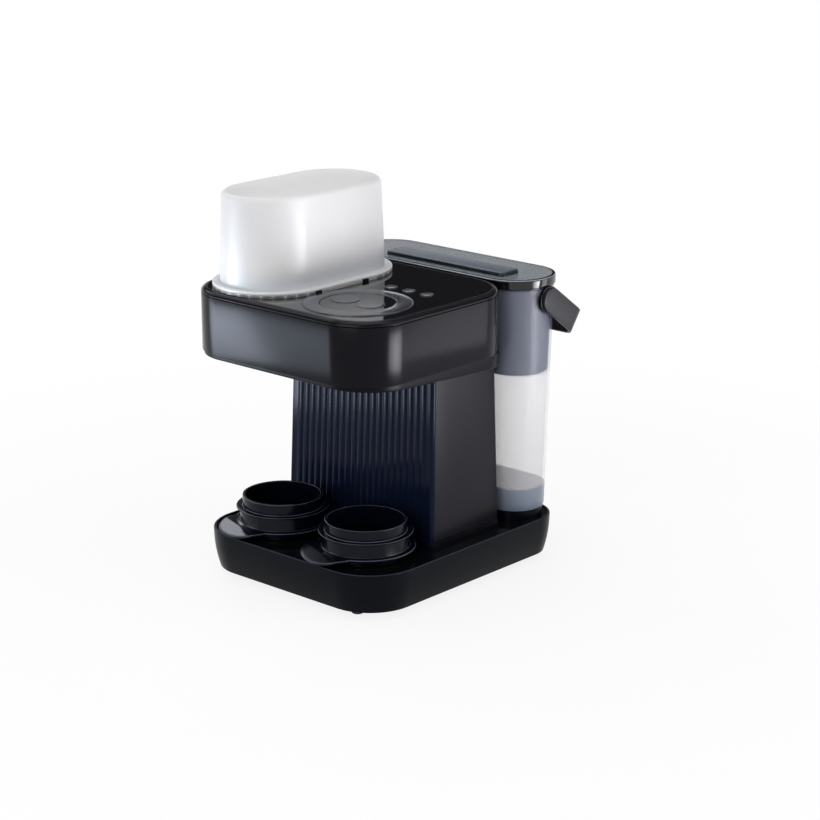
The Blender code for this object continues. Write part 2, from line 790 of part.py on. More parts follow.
# Powder chute: floor under the wheel with a spout down through the head's underside
chute_plate_radius = pocket_circle + pocket_radius + chute_wall * 2
powder_chute = plate("powder_chute", [circle(chute_plate_radius, 28), circle(shaft_radius + gap, 12)],
                     chute_floor, white_plastic, at=(wheel_x, wheel_y, z_chute + chute_floor / 2))
z_spout = underside(stand_y) - chute_drop
spout_top = z_chute + chute_floor / 2
join(powder_chute, cylinder("spout", chute_radius, spout_top - z_spout, None,
                            at=(wheel_x, stand_y, (spout_top + z_spout) / 2), steps=20, collection=cutters))
cut(powder_chute, cylinder("spout_bore", chute_radius - chute_wall, 2 * (z_wheel - z_spout), None,
                           at=(wheel_x, stand_y, z_wheel - gap - (z_wheel - z_spout) / 2), steps=20,
                           collection=cutters))
cut(head_underside, cylinder("spout_hole", chute_radius + gap, chin_rear_height * 2, None,
                             at=(wheel_x, stand_y, underside(stand_y)), steps=20, collection=cutters))

# Hopper bowl: a white rim on the top panel and a funnel down to the toothed wheel
hopper_x = -0.057
hopper_half = 0.056
hopper_front = y_front + hopper_margin
hopper_rear = hopper_front + hopper_length
rim_width = 0.006
hopper_rim = 0.0018
bowl_wall = thin_wall
funnel_half = 0.024
funnel_collar = 0.005
z_rimtop = z_panel + gap + hopper_rim


def hopper_outline(inset, steps=corner_steps):
    return move(stadium(hopper_half - inset, hopper_front + inset, hopper_rear - inset, steps), hopper_x, 0)


def funnel_outline(inset):
    """The funnel's foot, centred on the wheel, with as many points as the rim."""
    return move(stadium(funnel_half - inset, wheel_y - pocket_circle - pocket_radius + inset,
                        wheel_y + pocket_circle + pocket_radius + bowl_wall * 2 - inset), wheel_x, 0)


bowl_outer = rim_width
bowl_inner = rim_width + bowl_wall
z_funnel = z_panel - funnel_collar - wall
hopper_bowl = loft("hopper_bowl", [at_level(funnel_outline(0), z_bowl),
                                   at_level(hopper_outline(bowl_outer), z_funnel),
                                   at_level(hopper_outline(bowl_outer), z_panel + gap),
                                   at_level(hopper_outline(0), z_panel + gap),
                                   at_level(hopper_outline(0), z_rimtop),
                                   at_level(hopper_outline(bowl_inner), z_rimtop),
                                   at_level(hopper_outline(bowl_inner), z_funnel),
                                   at_level(funnel_outline(bowl_wall), z_bowl + bowl_floor)], white_plastic)
cut(hopper_bowl, cylinder("bowl_outlet", pocket_radius, 4 * bowl_floor, None,
                          at=(wheel_x, wheel_y + pocket_circle, z_bowl), steps=16, collection=cutters),
    cylinder("bowl_shaft_hole", shaft_radius + gap, 4 * bowl_floor, None,
             at=(wheel_x, wheel_y, z_bowl), steps=12, collection=cutters))

# Hopper cover: frosted stadium dome on a flat rim, with two latch notches in its right side
cover_rim = 0.0025
cover_height = 0.0865
cover_inset = 0.007
cover_taper = 0.0030
cover_round = 0.005
cover_crown = 0.0015
notch_length = 0.009
notch_depth = 0.0012
notch_shares = (0.33, 0.65)
crown_share = 0.6
cover_round_steps = 4
round_inset = cover_inset + cover_taper
crown_inset = hopper_half * crown_share
z_cover = z_rimtop + gap
z_cover_top = z_cover + cover_height
z_shoulder = z_cover_top - cover_round
cover_outside = [at_level(hopper_outline(0), z_cover), at_level(hopper_outline(0), z_cover + cover_rim),
                 at_level(hopper_outline(cover_inset), z_cover + cover_rim),
                 at_level(hopper_outline(round_inset), z_shoulder)]
for step in range(1, cover_round_steps + 1):
    angle = step / cover_round_steps * math.pi / 2
    cover_outside.append(at_level(hopper_outline(round_inset + cover_round * (1 - math.cos(angle))),
                                  z_shoulder + cover_round * math.sin(angle)))
cover_outside.append(at_level(hopper_outline(crown_inset), z_cover_top + cover_crown))


def cover_lining(inset, z):
    return at_level(hopper_outline(inset + bowl_wall), z)


cover_inside = [cover_lining(crown_inset, z_cover_top + cover_crown - bowl_wall),
                cover_lining(round_inset + cover_round, z_cover_top - bowl_wall),
                cover_lining(round_inset, z_shoulder), cover_lining(cover_inset, z_cover)]
hopper_cover = loft("hopper_cover", cover_inside + cover_outside, frosted_white)
for index, share in enumerate(notch_shares):
    notch_y = hopper_front + (hopper_rear - hopper_front) * share
    cut(hopper_cover, box("cover_notch_%d" % index, (2 * notch_depth, notch_length, 4 * cover_rim), None,
                          at=(hopper_x + hopper_half, notch_y, z_cover), collection=cutters))

# Dial: a ring that turns in the round channel of a fixed hub, which also holds the brew buttons
dial_x = 0.050
dial_reach = 0.0605
dial_y = y_front + dial_reach
dial_radius = 0.0497
dial_inner = 0.0345
dial_rise = 0.0010
hub_rise = 0.0006
hub_rim = 0.0022
hub_floor = 0.0025
channel_depth = 0.005
dial_round = 0.0007
panel_thickness = 0.0017
z_channel = z_panel - panel_thickness - gap - channel_depth
z_hub_foot = z_channel - gap - hub_floor
hub_radius = dial_inner - gap
channel_radius = dial_radius + gap
hub_edge = channel_radius + hub_rim
z_under_panel = z_panel - panel_thickness - gap
z_hub = z_panel + hub_rise
z_dial = z_panel + dial_rise
hub_profile = [(0, z_hub), (hub_radius - dial_round, z_hub), (hub_radius, z_hub - dial_round),
               (hub_radius, z_channel - gap), (channel_radius, z_channel - gap),
               (channel_radius, z_under_panel), (hub_edge, z_under_panel), (hub_edge, z_hub_foot),
               (0, z_hub_foot)]
dial_hub = turned("dial_hub", hub_profile, gloss_black, at=(dial_x, dial_y, 0), closed=False, steps=40)
dial_axis = axis_empty("dial_axis", (dial_x, dial_y, z_panel))
dial_profile = [(dial_inner + dial_round, z_dial), (dial_radius - dial_round, z_dial),
                (dial_radius, z_dial - dial_round), (dial_radius, z_channel), (dial_inner, z_channel),
                (dial_inner, z_dial - dial_round)]
hang(turned("dial_ring", dial_profile, dial_grey, at=(dial_x, dial_y, 0), steps=40), dial_axis)

# Buttons: mushroom caps whose stems reach down to the switches on the control board
brew_spacing = 0.030
brew_radius = 0.013
brew_rise = 0.0012
brew_travel = 0.0010
key_radius = 0.0060
key_rise = 0.0008
key_travel = 0.0006
key_dial_gap = 0.0081
key_y = dial_y + dial_radius + key_dial_gap + key_radius
key_xs = (0.032, 0.054, 0.076)
cap_depth = 0.0035
stem_radius = 0.0022
board_drop = 0.0065
board_thickness = 0.0016
switch_side = 0.006
switch_height = 0.0035
z_board = z_hub_foot - board_drop
z_switch = z_board + board_thickness + switch_height


def button(name, x, y, radius, rise, travel):
    """Cap with a rounded edge and a stem, in one turned piece."""
    top = z_panel + rise
    foot = z_switch + travel + gap
    profile = [(0, top), (radius - dial_round, top), (radius, top - dial_round), (radius, top - cap_depth),
               (stem_radius, top - cap_depth), (stem_radius, foot), (0, foot)]
    return turned(name, profile, dial_grey, at=(x, y, 0), closed=False, steps=24)


brew_places = [("brew_button_left", -1), ("brew_button_right", 1)]
button_places = []
for name, side in brew_places:
    x = dial_x + side * brew_spacing / 2
    button(name, x, dial_y, brew_radius, hub_rise + brew_rise, brew_travel)
    button_places.append((x, dial_y))
    cut(dial_hub, cylinder(name + "_well", brew_radius + gap, 2 * (cap_depth + brew_travel), None,
                           at=(x, dial_y, z_hub), steps=24, collection=cutters),
        cylinder(name + "_stem_hole", stem_radius + gap, 4 * channel_depth, None,
                 at=(x, dial_y, z_channel), steps=12, collection=cutters))
for name, x in zip(("key_left", "key_middle", "key_right"), key_xs):
    button(name, x, key_y, key_radius, key_rise, key_travel)
    button_places.append((x, key_y))

# Control board under the hub, on four posts, with a switch soldered under each button
board_margin = 0.010
board_left = min(key_xs) - 2 * key_radius - board_margin
board_right = max(key_xs) + board_margin
board_front = dial_y - hub_radius
board_rear = key_y + board_margin
board_x = (board_left + board_right) / 2
board_y = (board_front + board_rear) / 2
board_size = (board_right - board_left, board_rear - board_front, board_thickness)
control_board = box("control_board", board_size, board_green,
                    at=(board_x, board_y, z_board + board_thickness / 2))
for index, (side, end) in enumerate(((-1, -1), (1, -1), (-1, 1), (1, 1))):
    post_top = z_hub_foot + hub_floor / 2
    post_foot = z_board + board_thickness + gap
    join(dial_hub, cylinder("board_post_%d" % index, post_radius, post_top - post_foot, None,
                            at=(dial_x + side * hub_radius / 2, dial_y + end * hub_radius / 2,
                                (post_top + post_foot) / 2), steps=12, collection=cutters))
switch_size = (switch_side, switch_side, switch_height + board_thickness)
for index, (x, y) in enumerate(button_places):
    join(control_board, box("switch_%d" % index, switch_size, None, at=(x, y, z_switch - switch_size[2] / 2),
                            collection=cutters))

# Bezel: chamfered black frame round the head's top edge, with a ledge for the glossy panel
bezel_chamfer = 0.005
bezel_land = 0.0012
bezel_ledge = 0.005
bezel_tongue = 0.004
bezel_lip = 0.0004
bezel_curve_shares = ((0.25, 0.60), (0.60, 0.88), (1.0, 1.0))
z_ledge = z_under_panel
panel_inset = bezel_chamfer + bezel_land + gap
bezel_rings = [at_level(head_outline(bezel_lip), z_bezel + gap),
               at_level(head_outline(0), z_bezel + gap + bezel_lip)]
bezel_rings += [at_level(head_outline(bezel_chamfer * in_share), z_bezel + bezel_height * up_share)
                for in_share, up_share in bezel_curve_shares]
bezel_rings += [at_level(head_outline(panel_inset - gap), z_panel),
                at_level(head_outline(panel_inset - gap), z_ledge),
                at_level(head_outline(panel_inset + bezel_ledge), z_ledge),
                at_level(head_outline(panel_inset + bezel_ledge), z_bezel - bezel_tongue / 2),
                at_level(head_outline(wall + gap + thin_wall), z_bezel - bezel_tongue),
                at_level(head_outline(wall + gap), z_bezel - bezel_tongue),
                at_level(head_outline(wall + gap), z_bezel + gap)]
top_bezel = loft("top_bezel", bezel_rings, gloss_black, closed=True)
hopper_slot = hopper_outline(bowl_outer - gap)
bezel_cut = plate("hopper_bezel_cut", [hopper_slot], 4 * bezel_height, None, at=(0, 0, z_panel),
                  collection=cutters)
cut(top_bezel, bezel_cut,
    cylinder("dial_bezel_cut", hub_edge + gap, 4 * bezel_height, None,
             at=(dial_x, dial_y, z_ledge - 2 * bezel_height), steps=40, collection=cutters))
plate("top_panel", [head_outline(panel_inset), hopper_slot, circle(channel_radius, 40, dial_x, dial_y)]
      + [circle(key_radius + gap, 24, x, key_y) for x in key_xs],
      panel_thickness, gloss_black, at=(0, 0, z_panel - panel_thickness / 2))

# Water nozzle in the head's underside over the right stand
nozzle_radius = 0.005
nozzle_flange = 0.009
nozzle_bore = 0.0025
nozzle_flange_height = 0.002
nozzle_neck = 0.006
nozzle_tip_share = 0.7
pipe_radius = 0.003
z_nozzle_seat = underside(stand_y - nozzle_flange) + chin_floor + gap
z_nozzle_top = z_nozzle_seat + nozzle_flange_height + nozzle_neck
z_nozzle_tip = underside(stand_y) - chute_drop
z_nozzle_flange = z_nozzle_seat + nozzle_flange_height
nozzle_profile = [(nozzle_bore, z_nozzle_top), (nozzle_radius, z_nozzle_top),
                  (nozzle_radius, z_nozzle_flange), (nozzle_flange, z_nozzle_flange),
                  (nozzle_flange, z_nozzle_seat), (nozzle_radius, z_nozzle_seat),
                  (nozzle_radius * nozzle_tip_share, z_nozzle_tip),
                  (nozzle_bore, z_nozzle_tip)]
turned("water_nozzle", nozzle_profile, steel, at=(stand_x, stand_y, 0), steps=20)
cut(head_underside, cylinder("nozzle_hole", nozzle_radius + gap, chin_rear_height * 2, None,
                             at=(stand_x, stand_y, underside(stand_y)), steps=20, collection=cutters))

# Pump and heater stand inside the column's foot on the bottom plate
column_middle = (column_foot_front + splash_inset + foot_back) / 2
heater_size = (0.052, 0.034, 0.095)
heater_x = 0.038
pump_radius = 0.015
pump_length = 0.048
pump_x = -0.040
pump_foot = (0.040, 0.030, 0.006)
pump_lift = 0.003
heater_round = 0.003
z_heater = z_plate + gap
z_heater_top = z_heater + heater_size[2]
box("heater", heater_size, steel, at=(heater_x, column_middle, (z_heater + z_heater_top) / 2),
    bevel=heater_round)
z_pump = z_plate + gap + pump_lift + pump_radius
pump = cylinder("water_pump", pump_radius, pump_length, grey_plastic, at=(pump_x, column_middle, z_pump),
                axis="X", steps=24)
join(pump, box("pump_foot", pump_foot, None,
               at=(pump_x, column_middle, z_plate + gap + pump_foot[2] / 2), collection=cutters))
pipe_rise = z_nozzle_top + 3 * pipe_radius
throat_hole = rounded(foot_half / 2, column_middle - heater_size[1] / 2, column_middle + heater_size[1] / 2,
                      column_corner, column_corner, 2)
cut(head_underside, plate("throat_hole", [throat_hole], chin_rear_height * 4, None,
                          at=(0, 0, z_column_top), collection=cutters))
nozzle_route = [(heater_x, column_middle, z_heater_top + gap), (heater_x, column_middle, pipe_rise),
                (stand_x, stand_y, pipe_rise), (stand_x, stand_y, z_nozzle_top + gap)]
tube("nozzle_pipe", nozzle_route, pipe_radius, silicone)
pump_end = pump_x + pump_length / 2
tube("heater_pipe", [(pump_end + gap, column_middle, z_pump),
                     (heater_x - heater_size[0] / 2 - gap, column_middle, z_pump)], pipe_radius, silicone)

# Power: inlet in the base's rear wall and the supply board on posts under the tray
inlet_size = (0.024, 0.016, 0.017)
inlet_x = 0.062
inlet_recess = (0.0165, 0.011, 0.009)
inlet_proud = 0.0006
z_inlet = (z_plate + z_deck - deck_thickness) / 2
inlet_y = base_rear + inlet_proud - inlet_size[1] / 2
power_inlet = box("power_inlet", inlet_size, satin_black, at=(inlet_x, inlet_y, z_inlet))
cut(power_inlet, box("inlet_recess", (inlet_recess[0], 2 * inlet_recess[1], inlet_recess[2]), None,
                     at=(inlet_x, inlet_y + inlet_size[1] / 2, z_inlet), collection=cutters))
cut(base_shell, box("inlet_hole", [side + 2 * gap for side in inlet_size], None,
                    at=(inlet_x, inlet_y, z_inlet), collection=cutters))
inlet_pin_radius = 0.0012
inlet_pin_spacing = 0.0085
inlet_pin_setback = 0.0017
inlet_pin_length = inlet_recess[1] - inlet_pin_setback + overrun / 2
inlet_pin_y = inlet_y + inlet_size[1] / 2 - inlet_pin_setback - inlet_pin_length / 2
for side in (-1, 1):
    join(power_inlet, cylinder("inlet_pin_%d" % side, inlet_pin_radius, inlet_pin_length, None,
                               at=(inlet_x + side * inlet_pin_spacing / 2, inlet_pin_y, z_inlet),
                               axis="Y", steps=10, collection=cutters))
supply_size = (0.110, 0.050, 0.0016)
supply_lift = 0.006
supply_margin = 0.008
supply_post_x = supply_size[0] / 2 - supply_margin
supply_post_y = supply_size[1] / 2 - supply_margin
supply_post_height = supply_lift - gap + plate_thickness / 2
z_supply = z_plate + supply_lift
box("power_board", supply_size, board_green, at=(0, stand_y, z_supply + supply_size[2] / 2))
for index, (side, end) in enumerate(((-1, -1), (1, -1), (-1, 1), (1, 1))):
    join(base_plate, cylinder("supply_post_%d" % index, post_radius, supply_post_height, None,
                              at=(side * supply_post_x, stand_y + end * supply_post_y,
                                  z_supply - gap - supply_post_height / 2), steps=12, collection=cutters))

# Tank: frosted stadium bucket, narrower at its foot, standing on a dock on the rear deck
dock_height = 0.0084
lid_height = 0.0087
lid_proud = 0.001
basket_rim = 0.0012
tank_wall = 0.0022
dock_inset = 0.0015
z_dock = z_deck + gap + dock_height
z_tank = z_dock + gap
z_lid_top = z_panel + lid_proud
z_lid = z_lid_top - lid_height
z_tank_top = z_lid - gap - basket_rim - gap
tank_height = z_tank_top - z_tank


def tank_outline(inset, z=None):
    """The tank's stadium at a height, with its draft, or at its top."""
    draft = 0.0 if z is None else tank_draft * (1 - (z - z_tank) / tank_height)
    half_depth = tank_half_depth - inset - draft
    return stadium(tank_half - inset - draft, y_tank - half_depth, y_tank + half_depth)


tank_foot_round = 0.002
valve_bore = 0.0045
tank_rings = [at_level(tank_outline(tank_foot_round, z_tank), z_tank),
              at_level(tank_outline(0, z_tank + tank_foot_round), z_tank + tank_foot_round),
              at_level(tank_outline(0), z_tank_top),
              at_level(tank_outline(tank_wall), z_tank_top),
              at_level(tank_outline(tank_wall, z_tank + tank_wall), z_tank + tank_wall)]
tank_shell = loft("tank_shell", tank_rings, frosted_clear)
cut(tank_shell, cylinder("valve_hole", valve_bore, 4 * tank_wall, None, at=(0, y_tank, z_tank), steps=20,
                         collection=cutters))

# Dock: the tank stands on it; its socket takes the valve's stem inside a seal, and drains below
seal_section = 0.0016
seal_radius = dock_bore - gap
socket_wall = 0.0015
socket_bore = seal_radius - seal_section
socket_foot = z_deck - deck_thickness - overrun
tank_dock = plate("tank_dock", [tank_outline(dock_inset, z_tank)], dock_height,
                  satin_black, at=(0, 0, z_deck + gap + dock_height / 2))
join(tank_dock, cylinder("dock_socket", seal_radius, z_dock - overrun - socket_foot, None,
                         at=(0, y_tank, (z_dock - overrun + socket_foot) / 2), steps=24, collection=cutters))
seat_depth = 2 * seal_section + gap
bore_depth = z_dock - socket_foot - socket_wall
cut(tank_dock,
    cylinder("seal_seat", seal_radius + gap, 2 * seat_depth, None, at=(0, y_tank, z_dock), steps=24,
             collection=cutters),
    cylinder("socket_bore", socket_bore, 2 * bore_depth, None, at=(0, y_tank, z_dock), steps=20,
             collection=cutters),
    cylinder("socket_drain", pipe_radius - thin_wall / 2, 8 * socket_wall, None, at=(0, y_tank, socket_foot),
             steps=12, collection=cutters))
turned("dock_seal", [(socket_bore, z_dock), (seal_radius, z_dock), (seal_radius, z_dock - 2 * seal_section),
                     (socket_bore, z_dock - 2 * seal_section)], silicone, at=(0, y_tank, 0), steps=24)
pipe_level = z_pump
tube("tank_pipe", [(0, y_tank, socket_foot - gap), (0, y_tank, pipe_level),
                   (pump_x, y_tank, pipe_level), (pump_x, column_middle + pump_radius + gap, pipe_level)],
     pipe_radius, silicone)

# Valve: a sprung plunger over the hole in the tank's floor, under a windowed cage
valve_stem = valve_bore - gap
valve_disc = 0.009
valve_disc_height = 0.002
valve_guide = 0.002
valve_length = 0.014
valve_drop = 0.002
cage_radius = 0.0125
cage_wall = 0.0015
cage_height = 0.018
z_floor = z_tank + tank_wall
z_disc = z_floor + gap
tank_axis = axis_empty("tank_axis", (0, y_tank, 0))
valve_profile = [(0, z_disc + valve_length), (valve_guide, z_disc + valve_length),
                 (valve_guide, z_disc + valve_disc_height), (valve_disc, z_disc + valve_disc_height),
                 (valve_disc, z_disc), (valve_stem, z_disc), (valve_stem, z_tank - valve_drop),
                 (0, z_tank - valve_drop)]
hang(turned("tank_valve", valve_profile, silicone, at=(0, y_tank, 0), closed=False, steps=20), tank_axis)
z_cage = z_disc + cage_height
cage_profile = [(valve_guide + gap, z_cage), (cage_radius, z_cage), (cage_radius, z_disc),
                (cage_radius - cage_wall, z_disc), (cage_radius - cage_wall, z_cage - cage_wall),
                (valve_guide + gap, z_cage - cage_wall)]
valve_cage = turned("valve_cage", cage_profile, white_plastic, at=(0, y_tank, 0), steps=24)
window_height = 0.0072
window_sizes = ((4 * cage_radius, cage_radius, window_height), (cage_radius, 4 * cage_radius, window_height))
for index, size in enumerate(window_sizes):
    cut(valve_cage, box("cage_window_%d" % index, size, None,
                        at=(0, y_tank, z_disc + cage_height / 2), collection=cutters))
hang(valve_cage, tank_axis)

# Valve spring: one coil between the plunger's disc and the cage's roof
spring_turns = 4
turn_points = 10
spring_wire = 0.0004
spring_radius = 0.0036
spring_points = spring_turns * turn_points
z_spring = z_disc + valve_disc_height + gap + spring_wire
spring_height = cage_height - cage_wall - valve_disc_height - 2 * gap - 2 * spring_wire
spring = bpy.data.curves.new("valve_spring", "CURVE")
spring.dimensions = "3D"
spring.bevel_depth = spring_wire
spring.bevel_resolution = 1
spring.use_fill_caps = True
coil = spring.splines.new("POLY")
coil.points.add(spring_points)
for step, point in enumerate(coil.points):
    angle = 2 * math.pi * spring_turns * step / spring_points
    point.co = (spring_radius * math.cos(angle), spring_radius * math.sin(angle),
                z_spring + spring_height * step / spring_points, 1)
curve_to_mesh("valve_spring", spring, steel, (0, y_tank, 0))

# Filter basket hangs from the tank's rim and holds the cartridge in its floor
basket_wall = 0.0016
basket_drop = 0.083
cartridge_x = -0.060
cartridge_radius = 0.0225
cartridge_head = 0.0255
cartridge_head_height = 0.012
cartridge_taper = 0.0027
cartridge_drop = 0.055
z_basket = z_tank_top - basket_drop
basket_top = z_tank_top + gap + basket_rim
basket_inset = tank_wall + gap
basket_inner = basket_inset + basket_wall
basket_rings = [at_level(tank_outline(basket_inset, z_basket), z_basket),
                at_level(tank_outline(basket_inset), z_tank_top + gap),
                at_level(tank_outline(gap), z_tank_top + gap),
                at_level(tank_outline(gap), basket_top),
                at_level(tank_outline(basket_inner), basket_top),
                at_level(tank_outline(basket_inner, z_basket + basket_wall), z_basket + basket_wall)]
filter_basket = loft("filter_basket", basket_rings, frosted_clear)
cut(filter_basket, cylinder("cartridge_hole", cartridge_radius + gap, 4 * basket_wall, None,
                            at=(cartridge_x, y_tank, z_basket), steps=24, collection=cutters))
z_seat = z_basket + basket_wall + gap
z_cartridge_top = z_seat + cartridge_head_height
z_cartridge_foot = z_seat - cartridge_drop
cartridge_profile = [(0, z_cartridge_top), (cartridge_head, z_cartridge_top), (cartridge_head, z_seat),
                     (cartridge_radius, z_seat), (cartridge_radius - cartridge_taper, z_cartridge_foot),
                     (0, z_cartridge_foot)]
turned("filter_cartridge", cartridge_profile, white_plastic, at=(cartridge_x, y_tank, 0), closed=False,
       steps=24)

# Lid: a black rim round a satin dish, with a skirt that enters the basket and carries the seal
skirt_clearance = 0.0013
skirt_wall = 0.0016
skirt_depth = 0.0055
dish_depth = 0.004
lid_wall = 0.0022
lid_edge = 0.0012
lid_chamfer = 0.0004
lid_land = 0.0036
dish_slope = 0.008
dish_low_share = 0.5
dish_height_share = 0.33


def lid_outline(inset):
    """The lid overhangs the tank a little more in front and behind than at its ends."""
    return stadium(lid_half - inset, y_tank - lid_depth / 2 + inset, y_tank + lid_depth / 2 - inset)


def skirt_outline(inset):
    return tank_outline(basket_inner + skirt_clearance + inset)


z_dish = z_lid_top - dish_depth
z_lid_under = z_dish - lid_wall
z_skirt = z_lid - skirt_depth
lid_rings = [at_level(skirt_outline(skirt_wall), z_lid_under), at_level(skirt_outline(skirt_wall), z_skirt),
             at_level(skirt_outline(0), z_skirt), at_level(skirt_outline(0), z_lid),
             at_level(lid_outline(lid_chamfer), z_lid), at_level(lid_outline(0), z_lid + lid_chamfer),
             at_level(lid_outline(0), z_lid_top - lid_edge),
             at_level(lid_outline(lid_chamfer), z_lid_top - lid_chamfer),
             at_level(lid_outline(lid_edge), z_lid_top), at_level(lid_outline(lid_land), z_lid_top),
             at_level(lid_outline(lid_land + dish_slope * dish_low_share),
                      z_dish + dish_depth * dish_height_share),
             at_level(lid_outline(lid_land + dish_slope), z_dish)]
tank_lid = loft("tank_lid", lid_rings, lid_grey)
seal_height = 0.002
seal_inside = skirt_outline(-gap)
seal_outside = skirt_outline(gap - skirt_clearance)
z_seal_top = z_lid - gap
z_seal_foot = z_seal_top - seal_height
seal_rings = [at_level(seal_inside, z_seal_foot), at_level(seal_outside, z_seal_foot),
              at_level(seal_outside, z_seal_top), at_level(seal_inside, z_seal_top)]
loft("lid_seal", seal_rings, silicone, closed=True)

# Lid grip: raised bar along the front of the dish, nearer the right end
grip_left = -0.063
grip_length = 0.147
grip_front_margin = 0.0128
grip_depth = 0.026
grip_height = 0.0077
grip_corner = 0.004
grip_taper = 0.0012
grip_chamfer = 0.0006
grip_front = y_tank - lid_depth / 2 + grip_front_margin


def grip_outline(inset):
    return move(rounded(grip_length / 2 - inset, grip_front + inset, grip_front + grip_depth - inset,
                        grip_corner - inset, grip_corner - inset, 4), grip_left + grip_length / 2, 0)


loft("lid_grip", [at_level(grip_outline(0), z_dish + gap),
                  at_level(grip_outline(grip_chamfer), z_dish + grip_height - grip_taper),
                  at_level(grip_outline(grip_chamfer + grip_taper), z_dish + grip_height)], gloss_black)
pocket_rings = [at_level(grip_outline(-gap), z_dish), at_level(grip_outline(-gap), z_dish + grip_height)]
cut(tank_lid, loft("grip_pocket", pocket_rings, None, collection=cutters))

# Bail handle: a flat strap bent round the back of the tank, on a pivot at each end
bail_corner = 0.012
bail_side_gap = 0.0021
bail_hole = 0.0045
bail_hole_depth = 0.002
pivot_drop = 0.0213
boss_sink = 0.0045
boss_round_radius = 0.013
z_pivot = z_lid_top - pivot_drop
bail_outer_x = lid_half + bail_side_gap + bail_thickness
bail_axis = axis_empty("bail_axis", (0, y_pivot, z_pivot))


def bail_path(offset):
    """Half of the strap's outline in its own plane, out from the pivot and round the corner."""
    x = bail_outer_x - offset
    y = bail_length - offset
    radius = bail_corner - offset
    points = [(x, 0)]
    for step in range(6):
        angle = step / 5 * math.pi / 2
        points.append((x - radius + radius * math.cos(angle), y - radius + radius * math.sin(angle)))
    return points


def both_sides(path):
    return path + [(-x, y) for x, y in reversed(path)]


strap = both_sides(bail_path(0)) + list(reversed(both_sides(bail_path(bail_thickness))))
tank_handle = plate("tank_handle", [strap], bail_width, satin_black, at=(0, y_pivot, z_pivot),
                    rotation=(-bail_angle, 0, 0))
hang(tank_handle, bail_axis)
bpy.context.view_layer.update()
boss_inner_x = tank_half - boss_sink
body_rings = [at_level(tank_outline(-gap, z_tank), z_tank), at_level(tank_outline(-gap), z_tank_top + gap)]
clear_body = loft("tank_clearance", body_rings, None, collection=cutters)
clear_rings = [at_level(lid_outline(-gap), z_tank_top), at_level(lid_outline(-gap), z_lid_top)]
clear_lid = loft("lid_clearance", clear_rings, None, collection=cutters)
face_x = bail_outer_x - bail_thickness
boss_end = face_x - gap
pin_length = bail_hole_depth + boss_end - boss_inner_x - gap
for name, side in (("left", -1), ("right", 1)):
    arm_x = side * (bail_outer_x - bail_thickness / 2)
    join(tank_handle, cylinder("arm_end_" + name, bail_width / 2, bail_thickness, None,
                               at=(arm_x, y_pivot, z_pivot), axis="X", steps=32, collection=cutters))
    cut(tank_handle, cylinder("arm_hole_" + name, bail_hole, 2 * bail_hole_depth, None,
                              at=(side * face_x, y_pivot, z_pivot), axis="X", steps=16, collection=cutters))
    boss = cylinder("handle_pivot_" + name, boss_round_radius, boss_end - boss_inner_x, satin_black,
                    at=(side * (boss_end + boss_inner_x) / 2, y_pivot, z_pivot), axis="X", steps=28)
    join(boss, cylinder("handle_pin_" + name, bail_hole - gap, pin_length, None,
                        at=(side * (boss_inner_x + pin_length / 2), y_pivot, z_pivot), axis="X", steps=16,
                        collection=cutters))
    cut(boss, clear_body, clear_lid)
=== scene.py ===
"""Looks of a baby formula maker: a powder hopper, a water tank and two bottle stands on one base."""

import bmesh
import bpy
import numpy as np
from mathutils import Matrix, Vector


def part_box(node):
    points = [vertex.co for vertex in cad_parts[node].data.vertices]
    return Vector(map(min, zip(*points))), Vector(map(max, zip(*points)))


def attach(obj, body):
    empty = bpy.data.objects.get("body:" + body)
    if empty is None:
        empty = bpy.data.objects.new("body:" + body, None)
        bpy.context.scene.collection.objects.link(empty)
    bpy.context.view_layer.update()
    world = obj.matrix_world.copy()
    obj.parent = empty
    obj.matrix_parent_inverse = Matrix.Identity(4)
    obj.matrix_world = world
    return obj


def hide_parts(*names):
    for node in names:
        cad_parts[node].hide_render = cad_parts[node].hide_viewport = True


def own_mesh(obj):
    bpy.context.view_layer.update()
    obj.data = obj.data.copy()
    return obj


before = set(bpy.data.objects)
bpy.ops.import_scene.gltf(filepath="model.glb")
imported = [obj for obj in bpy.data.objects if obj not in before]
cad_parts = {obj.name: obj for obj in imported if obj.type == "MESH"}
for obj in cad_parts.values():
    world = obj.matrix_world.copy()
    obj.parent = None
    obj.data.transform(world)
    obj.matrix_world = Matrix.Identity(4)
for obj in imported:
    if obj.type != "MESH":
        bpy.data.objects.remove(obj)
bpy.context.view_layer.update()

# The set: a white studio floor inside a low round wall, soft lamps above and beside the machine and
# the photograph's camera. None of it belongs to the machine.


class Field:
    """An output of a material's node. Operators on it add Math nodes and give a new output."""

    def __init__(self, finish, socket):
        self.finish = finish
        self.socket = socket

    def __add__(self, other):
        return self.finish.math("ADD", self, other)

    def __rsub__(self, other):
        return self.finish.math("SUBTRACT", other, self)

    def __mul__(self, other):
        return self.finish.math("MULTIPLY", self, other)

    __radd__ = __add__
    __rmul__ = __mul__


